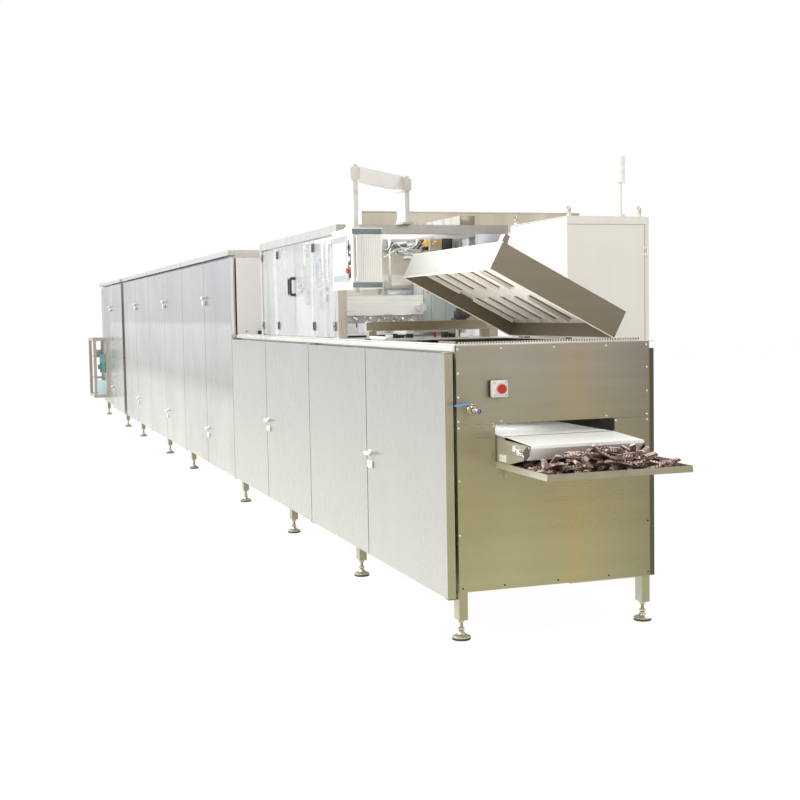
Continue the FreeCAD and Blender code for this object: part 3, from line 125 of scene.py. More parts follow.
for station in (1.0, -4.0, -9.0):
    lamp(f"key_{station:.0f}", at(station, -7.0, 6.0), at(station - 2.5, 0, 0.8), 5.0, 420)
lamp("end_fill", at(7.0, 3.0, 4.5), at(0, 0.5, 0.7), 3.5, 130, (1.0, 0.96, 0.9))
lamp("back_fill", at(-6.0, 8.0, 6.0), at(-6.0, 0.9, 0.8), 6.0, 420)
lamp("belt_light", at(-0.25, 0.32, 1.10), at(-0.20, 0.27, 0.88), 0.2, 0.7)
lamp("lid_light", at(-0.30, 0.06, 1.42), at(-0.8, 0.5, 1.5), 0.22, 2.0)

floor_mesh = bpy.data.meshes.new("floor")
reach = 40
floor_mesh.from_pydata([(-reach, -reach, 0), (reach, -reach, 0), (reach, reach, 0),
                        (-reach, reach, 0)], [], [(0, 1, 2, 3)])
floor = bpy.data.objects.new("floor", floor_mesh)
bpy.context.scene.collection.objects.link(floor)
floor_material = bpy.data.materials.new("floor")
floor_material.use_nodes = True
tree = floor_material.node_tree
tree.nodes.clear()
lit = add(tree, "ShaderNodeBsdfDiffuse", {"Color": (0.9, 0.89, 0.86, 1)})
white = add(tree, "ShaderNodeEmission", {"Color": (1, 1, 1, 1), "Strength": 1.03})
share = add(tree, "ShaderNodeMath", {0: seen_white(tree), 1: 0.93}, operation="MULTIPLY")
mixed = add(tree, "ShaderNodeMixShader", {0: share.outputs[0], 1: lit.outputs[0],
                                          2: white.outputs[0]})
add(tree, "ShaderNodeOutputMaterial", {"Surface": mixed.outputs[0]})
floor_mesh.materials.append(floor_material)


# Frame: welded rectangular stainless tube, dull from grinding, with its levelling
# feet. Each foot is a turned base on a rubber sole, a threaded rod and two nuts.
def group_tree(name, inputs, outputs):
    """A shader node group with its named sockets: inputs and outputs are (name, kind)."""
    made = bpy.data.node_groups.new(name, "ShaderNodeTree")
    for socket, kind in inputs:
        made.interface.new_socket(socket, in_out="INPUT", socket_type="NodeSocket" + kind)
    for socket, kind in outputs:
        made.interface.new_socket(socket, in_out="OUTPUT", socket_type="NodeSocket" + kind)
    return made, made.nodes.new("NodeGroupInput"), made.nodes.new("NodeGroupOutput")


def noise(tree, place, scale, detail=2.0):
    return add(tree, "ShaderNodeTexNoise", {"Vector": place, "Scale": scale, "Detail": detail}
               ).outputs["Fac"]


def scaled(tree, value, low, high, low_from=0.3, high_from=0.7):
    """A value stretched from one range over low to high."""
    return add(tree, "ShaderNodeMapRange", {"Value": value, "From Min": low_from,
                                            "From Max": high_from, "To Min": low, "To Max": high}
               ).outputs["Result"]


def maths(tree, operation, *values):
    return add(tree, "ShaderNodeMath", dict(enumerate(values)), operation=operation).outputs[0]


def blended(tree, share, first, second):
    mix = add(tree, "ShaderNodeMix", data_type="RGBA")
    for socket, value in ((0, share), (6, first), (7, second)):
        if isinstance(value, bpy.types.NodeSocket):
            tree.links.new(value, mix.inputs[socket])
        else:
            mix.inputs[socket].default_value = value
    return mix.outputs[2]


def tone(red, green, blue, gain=1.0):
    """A colour from its seen values of 0 to 255, as light."""
    return tuple(gain * (part / 255) ** 2.2 for part in (red, green, blue)) + (1,)


ground, start, end = group_tree(
    "ground_sheet",
    [("Place", "Vector"), ("Facing", "Vector"), ("Grain", "Vector"), ("Side Colour", "Color"),
     ("End Colour", "Color"), ("Up Colour", "Color"), ("Stain Colour", "Color"),
     ("Streak", "Float"), ("Stain", "Float"), ("Roughness", "Float")],
    [("Colour", "Color"), ("Roughness", "Float"), ("Height", "Float")])
place = start.outputs["Place"]
drawn = add(ground, "ShaderNodeVectorMath", {0: place, 1: start.outputs["Grain"]},
            operation="MULTIPLY").outputs[0]
fine = noise(ground, drawn, 1.0, 1.0)
streak = noise(ground, drawn, 0.09, 2.0)
cloud = noise(ground, place, 1.1, 4.0)
smear = noise(ground, place, 5.0, 5.0)
facing = add(ground, "ShaderNodeSeparateXYZ", {"Vector": start.outputs["Facing"]})
# Faces towards the output end and upward faces blend to their own colours: painted reflections of the
# hall and of the lights above.
sheet = blended(ground, scaled(ground, facing.outputs["X"], 0, 1, 0.4, 0.8),
                start.outputs["Side Colour"], start.outputs["End Colour"])
sheet = blended(ground, scaled(ground, facing.outputs["Z"], 0, 1, 0.4, 0.8), sheet,
                start.outputs["Up Colour"])
lines = maths(ground, "ADD", scaled(ground, fine, -0.5, 0.5), scaled(ground, streak, -1.0, 1.0))
gain = maths(ground, "MULTIPLY_ADD", lines, start.outputs["Streak"], 1.0)
sheet = add(ground, "ShaderNodeVectorMath", {0: sheet, 1: gain}, operation="MULTIPLY").outputs[0]
patch = maths(ground, "MULTIPLY", scaled(ground, cloud, 0, 1, 0.45, 0.75),
              scaled(ground, smear, 0.3, 1))
ground.links.new(blended(ground, maths(ground, "MULTIPLY", patch, start.outputs["Stain"]), sheet,
                         start.outputs["Stain Colour"]), end.inputs["Colour"])
rough = maths(ground, "ADD", scaled(ground, cloud, -0.06, 0.10), start.outputs["Roughness"])
ground.links.new(maths(ground, "MULTIPLY_ADD", lines, 0.04, rough), end.inputs["Roughness"])
ground.links.new(maths(ground, "MULTIPLY_ADD", noise(ground, place, 0.9, 0.0), 6.0, fine),
                 end.inputs["Height"])


def shade(tree, sockets):
    """The material's Principled shader, with its sockets set or linked, and its output."""
    face = add(tree, "ShaderNodeBsdfPrincipled", sockets)
    add(tree, "ShaderNodeOutputMaterial", {"Surface": face.outputs[0]})


def blank(name):
    material = bpy.data.materials.new(name)
    material.use_nodes = True
    material.node_tree.nodes.clear()
    return material, material.node_tree


def ramped(tree, value, stops):
    """A colour that follows a value of 0 to 2.2 m: stops are (value, colour)."""
    ramp = add(tree, "ShaderNodeValToRGB", {"Fac": maths(tree, "DIVIDE", value, 2.2)})
    marks = ramp.color_ramp.elements
    while len(marks) < len(stops):
        marks.new(0.5)
    for mark, (level, colour) in zip(marks, sorted(stops)):
        mark.position = level / 2.2
        mark.color = colour
    return ramp.outputs["Color"]


def by_height(tree, place, stops):
    """A colour that changes with height over the floor: stops are (height, colour)."""
    if len(stops) == 1:
        return stops[0][1]
    height = add(tree, "ShaderNodeSeparateXYZ", {"Vector": place}).outputs["Z"]
    return ramped(tree, height, stops)


def steel(name, side, end=None, up=None, stain=tone(150, 144, 126), grain=(180, 180, 5),
          streak=0.06, stained=0.25, roughness=0.32, metallic=0.8, bump=0.012, across=None):
    """Sheet or tube ground in one direction, so its grain is drawn out along it.

    Its colours go by height and by facing, with light painted in: side for faces towards the
    door side, with painted reflections that change with height, end a painted reflection
    of the dim warm hall past the output end on faces towards it, and up a painted
    reflection of the lights above on upward faces. across gives gains from the door side on.
    """
    material, tree = blank(name)
    places = add(tree, "ShaderNodeTexCoord")
    place = places.outputs["Object"]
    sheet = add(tree, "ShaderNodeGroup", node_tree=ground)
    tree.links.new(place, sheet.inputs["Place"])
    tree.links.new(places.outputs["Normal"], sheet.inputs["Facing"])
    for socket, stops in (("Side Colour", side), ("End Colour", end or side),
                          ("Up Colour", up or side)):
        colour = by_height(tree, place, stops)
        if isinstance(colour, bpy.types.NodeSocket):
            tree.links.new(colour, sheet.inputs[socket])
        else:
            sheet.inputs[socket].default_value = colour
    for socket, value in (("Grain", grain), ("Stain Colour", stain), ("Streak", streak),
                          ("Stain", stained), ("Roughness", roughness)):
        sheet.inputs[socket].default_value = value
    bent = add(tree, "ShaderNodeBump", {"Height": sheet.outputs["Height"], "Strength": bump,
                                        "Distance": 0.01})
    colour = sheet.outputs["Colour"]
    if across:
        side = add(tree, "ShaderNodeSeparateXYZ", {"Vector": place}).outputs["Y"]
        gains = ramped(tree, maths(tree, "SUBTRACT", side, door_side), across)
        colour = add(tree, "ShaderNodeVectorMath", {0: colour, 1: gains},
                     operation="MULTIPLY").outputs[0]
    shade(tree, {"Base Color": colour, "Metallic": metallic,
                 "Roughness": sheet.outputs["Roughness"], "Normal": bent.outputs[0]})
    return material


speckle, start, end = group_tree(
    "moulded_surface",
    [("Place", "Vector"), ("Colour", "Color"), ("Worn Colour", "Color"), ("Scale", "Float"),
     ("Wear", "Float"), ("Roughness", "Float")],
    [("Colour", "Color"), ("Roughness", "Float"), ("Height", "Float")])
grain = noise(speckle, start.outputs["Place"], start.outputs["Scale"], 3.0)
blotch = noise(speckle, start.outputs["Place"], 6.0, 4.0)
worn = maths(speckle, "MULTIPLY", scaled(speckle, blotch, 0, 1, 0.5, 0.75), start.outputs["Wear"])
speckle.links.new(blended(speckle, worn, start.outputs["Colour"], start.outputs["Worn Colour"]),
                  end.inputs["Colour"])
speckle.links.new(maths(speckle, "ADD", scaled(speckle, blotch, -0.05, 0.1),
                        start.outputs["Roughness"]), end.inputs["Roughness"])
speckle.links.new(grain, end.inputs["Height"])


def moulded(name, colour, worn=None, scale=400.0, wear=0.3, roughness=0.4, bump=0.05, **sockets):
    """Plastic, rubber or paint: a fine texture with duller, worn patches."""
    material, tree = blank(name)
    place = add(tree, "ShaderNodeTexCoord").outputs["Object"]
    skin = add(tree, "ShaderNodeGroup", node_tree=speckle)
    tree.links.new(place, skin.inputs["Place"])
    dull = worn or tuple(0.75 * part for part in colour[:3]) + (1,)
    for socket, value in (("Colour", colour), ("Worn Colour", dull), ("Scale", scale),
                          ("Wear", wear), ("Roughness", roughness)):
        skin.inputs[socket].default_value = value
    bent = add(tree, "ShaderNodeBump", {"Height": skin.outputs["Height"], "Strength": bump,
                                        "Distance": 0.001})
    shade(tree, {"Base Color": skin.outputs["Colour"], "Roughness": skin.outputs["Roughness"],
                 "Normal": bent.outputs[0], **sockets})
    return material


def dress(names, material):
    """Puts a finish on carried-over construction pieces."""
    for name in names:
        mesh = nodes[name].data
        mesh.materials.clear()
        mesh.materials.append(material)


frame_steel = steel("frame_steel", [(0, tone(208, 206, 188, 0.85))],
                    end=[(0, tone(172, 167, 128, 0.85))], stained=0.3, roughness=0.36)
dress(["base_frame"], frame_steel)


def rod(bm, start, end, radius, end_radius=None, sides=24):
    """A round bar between two points, or a taper where end_radius is given."""
    start, end = Vector(start), Vector(end)
    way = end - start
    turn = way.to_track_quat("Z", "Y").to_matrix().to_4x4()
    bmesh.ops.create_cone(bm, cap_ends=True, segments=sides, radius1=radius,
                          radius2=radius if end_radius is None else end_radius,
                          depth=way.length, matrix=Matrix.Translation((start + end) / 2) @ turn)


def block(bm, low, high, edge=0.0, turn=None):
    """A box between two corners with rounded edges, turned by a matrix about its middle."""
    fresh = bmesh.new()
    bmesh.ops.create_cube(fresh, size=1)
    low, high = Vector(low), Vector(high)
    bmesh.ops.scale(fresh, vec=high - low, verts=fresh.verts)
    if edge:
        bmesh.ops.bevel(fresh, geom=fresh.edges[:], offset=edge, segments=2, profile=0.5,
                        affect="EDGES")
    bmesh.ops.transform(fresh, matrix=Matrix.Translation((low + high) / 2) @ (turn or Matrix()),
                        verts=fresh.verts)
    part = bpy.data.meshes.new("part")
    fresh.to_mesh(part)
    fresh.free()
    bm.from_mesh(part)
    bpy.data.meshes.remove(part)


def lathe(bm, foot, way, outline, sides=32):
    """A turned piece: outline is (radius, height) from the foot along way, closed at radius 0."""
    turn = Vector(way).to_track_quat("Z", "Y").to_matrix()
    rings = []
    for radius, height in outline:
        count = sides if radius > 0 else 1
        rings.append([bm.verts.new(Vector(foot) + turn @ Vector((
            radius * math.cos(math.tau * step / sides), radius * math.sin(math.tau * step / sides),
            height))) for step in range(count)])
    for lower, upper in zip(rings, rings[1:]):
        for step in range(sides):
            after = (step + 1) % sides
            if len(lower) == 1:
                bm.faces.new((lower[0], upper[after], upper[step]))
            elif len(upper) == 1:
                bm.faces.new((lower[step], lower[after], upper[0]))
            else:
                bm.faces.new((lower[step], lower[after], upper[after], upper[step]))


def pipe(bm, points, radius, sides=12):
    """A bent round pipe through its corner points."""
    for first, second in zip(points, points[1:]):
        rod(bm, first, second, radius, sides=sides)
    for corner in points[1:-1]:
        bmesh.ops.create_uvsphere(bm, u_segments=sides, v_segments=sides // 2, radius=radius,
                                  matrix=Matrix.Translation(corner))


def settled(mesh, name, smooth):
    """The scene object for a mesh, smooth but for its real edges."""
    for face in mesh.polygons:
        face.use_smooth = True
    mesh.set_sharp_from_angle(angle=math.radians(smooth))
    piece = bpy.data.objects.new(name, mesh)
    bpy.context.scene.collection.objects.link(piece)
    return piece


def make(name, bm, material, body="line", smooth=30):
    """The finished piece from its mesh, riding on its body."""
    mesh = bpy.data.meshes.new(name)
    bm.to_mesh(mesh)
    bm.free()
    mesh.materials.append(material)
    piece = settled(mesh, name, smooth)
    if body:
        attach(piece, body)
    return piece


def geometry_tree(name, inputs):
    """A geometry node tree with a mesh in and out and its named inputs."""
    made = bpy.data.node_groups.new(name, "GeometryNodeTree")
    made.interface.new_socket("Geometry", in_out="INPUT", socket_type="NodeSocketGeometry")
    for socket, kind in inputs:
        made.interface.new_socket(socket, in_out="INPUT", socket_type="NodeSocket" + kind)
    made.interface.new_socket("Geometry", in_out="OUTPUT", socket_type="NodeSocketGeometry")
    return made, made.nodes.new("NodeGroupInput"), made.nodes.new("NodeGroupOutput")


def grown(name, holder, tree, values, body="line", smooth=30):
    """The plain mesh that a geometry node tree makes on holder, as a piece of its own."""
    modifier = holder.modifiers.new("grow", "NODES")
    modifier.node_group = tree
    for item in tree.interface.items_tree:
        if item.in_out == "INPUT" and item.name in values:
            modifier[item.identifier] = values[item.name]
    bpy.context.view_layer.update()
    graph = bpy.context.evaluated_depsgraph_get()
    mesh = bpy.data.meshes.new_from_object(holder.evaluated_get(graph), depsgraph=graph)
    holder.modifiers.remove(modifier)
    bpy.data.objects.remove(holder)
    piece = settled(mesh, name, smooth)
    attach(piece, body)
    return piece


copies, start, end = geometry_tree("copies_at_points",
                                   [("Part", "Object"), ("Finish", "Material")])
part_info = add(copies, "GeometryNodeObjectInfo", {"Object": start.outputs["Part"]})
facing = add(copies, "GeometryNodeInputNamedAttribute", {"Name": "facing"},
             data_type="FLOAT_VECTOR")
spread = add(copies, "GeometryNodeInstanceOnPoints", {
    "Points": start.outputs["Geometry"], "Instance": part_info.outputs["Geometry"],
    "Rotation": facing.outputs["Attribute"]})
real = add(copies, "GeometryNodeRealizeInstances", {"Geometry": spread.outputs[0]})
finished = add(copies, "GeometryNodeSetMaterial", {"Geometry": real.outputs[0],
                                                   "Material": start.outputs["Finish"]})
copies.links.new(finished.outputs[0], end.inputs["Geometry"])


def repeat(name, bm, places, material, turns=None, body="line", smooth=30):
    """Copies of one part at each of places, turned by turns, as one piece."""
    part = make(name + "_part", bm, material, body=None)
    mesh = bpy.data.meshes.new(name + "_places")
    mesh.from_pydata([tuple(spot) for spot in places], [], [])
    way = mesh.attributes.new("facing", "FLOAT_VECTOR", "POINT")
    for item, turn in zip(way.data, turns or [(0, 0, 0)] * len(places)):
        item.vector = turn
    holder = bpy.data.objects.new(name + "_places", mesh)
    bpy.context.scene.collection.objects.link(holder)
    made = grown(name, holder, copies, {"Part": part, "Finish": material}, body, smooth)
    bpy.data.objects.remove(part)
    return made


post_stations = (0.034, 1.48, 2.96, 4.45, 6.74, 8.18, 10.24, 11.72, 14.0)
foot_places = [at(-station, y, 0) for station in post_stations for y in (0.024, 0.906)]
zinc = steel("zinc_plate", [(0, tone(206, 200, 178, 0.9))], grain=(300, 300, 300), streak=0.15,
             stained=0.6, stain=tone(92, 86, 74), roughness=0.34)
foot = bmesh.new()
lathe(foot, (0, 0, 0), (0, 0, 1), [(0, 0.0081), (0.0385, 0.0081), (0.040, 0.010), (0.040, 0.0135),
                                   (0.036, 0.017), (0.026, 0.0205), (0.018, 0.025), (0.015, 0.031),
                                   (0.0115, 0.034), (0.0115, 0.037), (0, 0.037)])
threads = [(0.0072 + 0.0012 * (step % 2), 0.037 + 0.0011 * step) for step in range(46)]
lathe(foot, (0, 0, 0), (0, 0, 1), [(0, 0.037)] + threads + [(0, 0.088)], sides=16)
for low in (0.040, 0.0755):
    lathe(foot, (0, 0, 0), (0, 0, 1), [(0, low), (0.0125, low), (0.0145, low + 0.0015),
                                       (0.0145, low + 0.0105), (0.0125, low + 0.012),
                                       (0, low + 0.012)], sides=6)
feet = repeat("threaded_feet", foot, foot_places, zinc)
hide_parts("levelling_feet")
rubber = moulded("sole_rubber", tone(56, 54, 50), worn=tone(112, 106, 94), wear=0.7, roughness=0.7)
sole = bmesh.new()
lathe(sole, (0, 0, 0), (0, 0, 1), [(0, 0), (0.039, 0), (0.0405, 0.002), (0.0405, 0.0075),
                                   (0.0395, 0.0085), (0, 0.0085)])
soles = repeat("rubber_soles", sole, foot_places, rubber)
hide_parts("foot_pads")


# Side doors: stainless pans folded from one sheet, ground from top to bottom. Their colour
# bands by height are painted reflections: of a cream floor on the low ones, and of a
# banded wall above it on the tall ones.
end_painted_reflection = [(0.2, tone(174, 169, 128, 0.85)), (0.8, tone(170, 163, 126, 0.85)),
            (1.25, tone(168, 160, 136, 0.85)), (1.9, tone(176, 170, 152, 0.85))]
low_door_steel = steel(
    "low_door_steel", [(0.2, tone(229, 227, 215, 0.79)), (0.75, tone(208, 207, 199, 0.79)),
                       (1.0, tone(202, 202, 196, 0.79)), (1.25, tone(192, 193, 189, 0.79))],
    end=end_painted_reflection, stained=0.45, roughness=0.26, stain=tone(226, 227, 224, 0.85), streak=0.014,
    bump=0.002)
tall_door_steel = steel(
    "tall_door_steel", [(0.2, tone(233, 231, 219, 0.79)), (0.70, tone(220, 218, 209, 0.79)),
                        (0.88, tone(178, 176, 170, 0.79)), (1.02, tone(188, 187, 183, 0.79)),
                        (1.33, tone(204, 204, 201, 0.79)), (1.37, tone(172, 175, 178, 0.79)),
                        (1.84, tone(190, 192, 194, 0.79))],
    end=[(0.2, tone(196, 192, 178, 0.8)), (1.9, tone(206, 202, 192, 0.8))], streak=0.020,
    stained=0.55, roughness=0.20, stain=tone(186, 188, 188, 0.8), bump=0.002)
dress([name for name in nodes if name.startswith("low_door")], low_door_steel)
dress([name for name in nodes if name.startswith("tall_door")] + ["end_door"], tall_door_steel)
# Faces of the side panels towards the output end take a dark olive painted shade.
side_steel = steel("side_panel_steel", [(0.2, tone(228, 226, 214, 0.8)),
                                        (1.3, tone(205, 206, 203, 0.8))],
                   end=[(0.2, tone(92, 88, 66)), (1.2, tone(84, 78, 60))],
                   stained=0.2)
dress(["side_and_floor_panels"], side_steel)

# Latches: a die-cast lever on a round boss, a square spindle through the door and
# a cam behind it. A fixed hasp sits below each, and the tall doors have a second
# catch near eye height.
seam_shade = moulded("seam_shade", tone(122, 118, 106), worn=tone(150, 146, 132))
door_edge_highlight = steel("door_edge_light",
                  [(0.2, tone(246, 244, 234, 0.9)), (1.9, tone(232, 232, 230, 0.9))],
                  metallic=0.4)
# Each door gets a light strip along its near edge, a painted highlight on the fold, and a grey strip in
# its seam as painted shade.
for door in [name for name in nodes if "_door" in name and "latch" not in name and "cabinet" not in name]:
    low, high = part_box(door)
    for edge, x, finish in (("edge_", low.x + 0.0005, door_edge_highlight),
                            ("seam_", high.x - 0.0035, seam_shade)):
        bm = bmesh.new()
        block(bm, (x, door_side - 0.0456, low.z + 0.002),
              (x + 0.003, door_side - 0.0449, high.z - 0.002))
        make(edge + door, bm, finish, door)
polished = steel("polished_cast", [(0, tone(255, 254, 250, 0.95))],
                 end=[(0, tone(212, 208, 196, 0.9))],
                 up=[(0, tone(255, 255, 252, 0.95))], grain=(400, 400, 400), streak=0.03,
                 stained=0.1,
                 roughness=0.2, metallic=0.35)
latches = [name for name in nodes if name.startswith("latch_")]
for latch in latches:
    low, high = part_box(latch)
    door = latch[6:]
    spindle = Vector((low.x + 0.016, door_side - 0.045, high.z - 0.016))
    bm = bmesh.new()
    lathe(bm, spindle, (0, -1, 0), [(0, 0), (0.0165, 0), (0.0165, 0.003), (0.014, 0.005),
                                    (0.012, 0.013), (0, 0.0135)])
    block(bm, spindle + Vector((-0.009, -0.034, -0.0085)),
          spindle + Vector((0.070, -0.0135, 0.0085)), edge=0.004)
    lathe(bm, spindle + Vector((0.070, -0.024, 0)), (1, 0, 0),
          [(0, -0.004), (0.0085, -0.002), (0.0085, 0.004), (0.005, 0.0065), (0, 0.007)], sides=20)
    rod(bm, spindle, spindle + Vector((0, 0.040, 0)), 0.005, sides=16)
    block(bm, spindle + Vector((-0.006, 0.037, -0.066)), spindle + Vector((0.006, 0.040, 0.006)),
          edge=0.001)
    lever = make("lever_" + door, bm, polished, latch)
    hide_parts(latch)
    spot = spindle - Vector((0, 0, 0.057))
    bm = bmesh.new()
    block(bm, spot + Vector((-0.0245, -0.0105, -0.019)), spot + Vector((0.0495, 0.0002, 0.019)),
          edge=0.004)
    lathe(bm, spot + Vector((0.012, -0.009, 0)), (0, -1, 0),
          [(0, 0), (0.015, 0), (0.015, 0.002), (0.011, 0.0035), (0, 0.0038)], sides=24)
    block(bm, spot + Vector((0.030, -0.0128, -0.012)), spot + Vector((0.042, -0.008, 0.012)),
          edge=0.001)
    if "low" not in latch:
        spot = Vector((spindle.x, spindle.y, 1.560))
        lathe(bm, spot, (0, -1, 0), [(0, 0), (0.0165, 0), (0.0165, 0.006), (0.013, 0.011),
                                     (0.009, 0.016), (0, 0.0165)])
        block(bm, spot + Vector((-0.050, -0.034, -0.011)), spot + Vector((0.014, -0.014, 0.011)),
              edge=0.005)
        block(bm, spot + Vector((-0.014, -0.028, -0.066)), spot + Vector((0.016, 0.0002, -0.024)),
              edge=0.006)
    make("hasp_" + door, bm, polished, door)

# Front panel: two sheets in the end frame, ground from side to side and stained by
# handling, with low-headed screws along the edges and round the opening.
# The panel's olive colours by height, on its face towards the output end, are a painted reflection of the
# dim hall there.
panel_steel = steel(
    "end_panel_steel", [(0, tone(170, 165, 140, 0.85))],
    end=[(0.2, tone(176, 170, 128, 0.87)), (0.55, tone(169, 161, 117, 0.87)),
         (0.9, tone(160, 152, 124, 0.87)), (1.25, tone(158, 151, 136, 0.87))],
    grain=(180, 4, 180), stained=0.6, roughness=0.32, stain=tone(146, 138, 112, 0.85), streak=0.03,
    bump=0.005,
    across=[(0.0, (0.98, 0.98, 0.94, 1)), (0.24, (1.04, 1.05, 1.10, 1)),
            (0.42, (0.98, 0.98, 1.0, 1)),
            (0.55, (1.06, 0.96, 0.88, 1)), (0.64, (0.98, 0.94, 0.92, 1)),
            (0.80, (0.84, 0.84, 0.86, 1)),
            (0.93, (0.72, 0.72, 0.76, 1))])
dress(["front_panel_upper", "front_panel_lower"], panel_steel)
screw = bmesh.new()
lathe(screw, (0, 0, 0), (1, 0, 0), [(0, -0.0005), (0.0055, -0.0005), (0.0055, 0.0008),
                                    (0.0045, 0.0022), (0.0025, 0.003), (0, 0.0032)], sides=16)
spots = [(y, 1.247) for y in (0.010, 0.211, 0.460, 0.712, 0.912)]
spots += [(0.012, z) for z in (1.145, 1.043, 0.941, 0.913, 0.688, 0.454)]
spots += [(0.914, z) for z in (1.147, 1.042, 0.938, 0.913)]
spots += [(0.174, 0.914), (0.209, 0.936), (0.712, 0.937), (0.758, 0.914)]
repeat("panel_screws", screw, [at(0, y, z) for y, z in spots], zinc)
# Dark discs stand in for the open holes, as painted shade inside them.
hole = bmesh.new()
lathe(hole, (0, 0, 0), (1, 0, 0), [(0, -0.0004), (0.0042, -0.0004), (0.0042, 0.0003), (0, 0.0003)],
      sides=16)
hole_dark = moulded("hole_dark", tone(34, 32, 24), roughness=0.8)
spots = [(y, 0.226) for y in (0.021, 0.216, 0.469, 0.719, 0.917)] + [(0.916, 0.458)]
repeat("panel_holes", hole, [at(0, y, z) for y, z in spots], hole_dark)


# Emergency stop: a moulded box in two halves, four cover screws and a mushroom
# head with a dished top on its stem.
stop_low, stop_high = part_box("estop_box")
stop_spot = Vector((front_face, (stop_low.y + stop_high.y) / 2, (stop_low.z + stop_high.z) / 2))
box_grey = moulded("stop_cover", tone(236, 234, 229, 0.85), worn=tone(214, 208, 198),
                   roughness=0.35)
base_black = moulded("stop_base", tone(48, 48, 46), roughness=0.45)
bm = bmesh.new()
block(bm, stop_spot + Vector((0, -0.036, -0.036)), stop_spot + Vector((0.016, 0.036, 0.036)),
      edge=0.004)
make("stop_base", bm, base_black)
bm = bmesh.new()
block(bm, stop_spot + Vector((0.0162, -0.036, -0.036)), stop_spot + Vector((0.046, 0.036, 0.036)),
      edge=0.006)
lathe(bm, stop_spot + Vector((0.045, 0, 0)), (1, 0, 0),
      [(0.0255, 0), (0.0255, 0.003), (0.024, 0.005), (0.0105, 0.005), (0.0105, -0.01)], sides=40)
stop_cover = make("stop_cover", bm, box_grey)
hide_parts("estop_box")
corner = bmesh.new()
lathe(corner, (0, 0, 0), (1, 0, 0), [(0, 0), (0.0045, 0), (0.0045, 0.0012), (0.0035, 0.0018),
                                     (0, 0.0018)], sides=16)
repeat("stop_screws", corner, [stop_spot + Vector((0.0455, y, z)) for y in (-0.027, 0.027)
                               for z in (-0.027, 0.027)], zinc)
red = moulded("stop_red", tone(186, 30, 14), worn=tone(168, 40, 22), roughness=0.5)
bm = bmesh.new()
lathe(bm, stop_spot + Vector((0.023, 0, 0)), (1, 0, 0),
      [(0, 0), (0.009, 0), (0.009, 0.034), (0.0185, 0.035), (0.020, 0.037), (0.020, 0.043),
       (0.0185, 0.0465), (0.015, 0.048), (0.008, 0.0465), (0, 0.046)], sides=40)
head = make("mushroom_head", bm, red, "estop_button")
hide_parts("estop_button")

# Air valve: a nickel-plated ball valve straight out of the panel, a push-in fitting
# with a blue release ring on its end, and a pressed lever in a blue sleeve.
nickel = steel("nickel_brass", [(0, tone(204, 198, 178, 0.9))], end=[(0, tone(176, 168, 140))],
               grain=(300, 300, 300), streak=0.05, stained=0.4, stain=tone(140, 124, 90),
               roughness=0.22, metallic=0.9)
valve = at(0, 0.068, 0.990)
bm = bmesh.new()
lathe(bm, valve, (1, 0, 0), [(0, 0), (0.018, 0), (0.018, 0.003), (0.0165, 0.005), (0.0165, 0.009),
                             (0.011, 0.011), (0.011, 0.024), (0.013, 0.027), (0.0155, 0.036),
                             (0.0155, 0.052), (0.013, 0.059), (0.011, 0.062), (0.011, 0.064),
                             (0, 0.064)])
lathe(bm, valve + Vector((0.064, 0, 0)), (1, 0, 0), [(0, 0), (0.0125, 0), (0.0135, 0.001),
                                                     (0.0135, 0.011), (0.0125, 0.012),
                                                     (0, 0.012)], sides=6)
lathe(bm, valve + Vector((0.076, 0, 0)), (1, 0, 0), [(0, 0), (0.0105, 0), (0.0115, 0.002),
                                                     (0.0115, 0.013), (0.0095, 0.0155),
                                                     (0, 0.0155)])
lathe(bm, valve + Vector((0.046, 0, 0)), (0, 0, 1), [(0, 0.012), (0.009, 0.014), (0.009, 0.0205),
                                                     (0.0065, 0.0228), (0.003, 0.0228),
                                                     (0.003, 0.031), (0, 0.031)], sides=20)
lathe(bm, valve + Vector((0.046, 0, 0.0282)), (0, 0, 1),
      [(0.0029, 0), (0.0062, 0), (0.0062, 0.004),
                                                          (0.0029, 0.004)], sides=6)
body_of_valve = make("ball_valve", bm, nickel)
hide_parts("air_valve")
ring_blue = moulded("ring_blue", tone(24, 30, 170), roughness=0.35)
bm = bmesh.new()
lathe(bm, valve + Vector((0.0905, 0, 0)), (1, 0, 0),
      [(0, 0.001), (0.0052, 0.001), (0.0052, 0.004), (0.0092, 0.004), (0.0092, 0), (0, 0)][::-1],
      sides=28)
make("fitting_ring", bm, ring_blue)
sleeve_blue = moulded("sleeve_blue", tone(84, 146, 226), worn=tone(120, 168, 230), roughness=0.35)
lever_foot = valve + Vector((0.046, 0, 0.024))
bm = bmesh.new()
lathe(bm, lever_foot, (0, 0, 1), [(0.0031, 0), (0.0085, 0), (0.0085, 0.004), (0.0031, 0.004)],
      sides=24)
block(bm, lever_foot + Vector((-0.005, -0.024, 0)), lever_foot + Vector((0.005, -0.005, 0.004)),
      edge=0.001)
make("lever_plate", bm, nickel, "air_valve_lever")
bm = bmesh.new()
block(bm, lever_foot + Vector((-0.0065, -0.090, -0.001)),
      lever_foot + Vector((0.0065, -0.018, 0.006)), edge=0.0025,
      turn=Matrix.Rotation(math.radians(5), 4, "X"))
lever = make("valve_lever", bm, sleeve_blue, "air_valve_lever")
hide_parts("air_valve_lever")

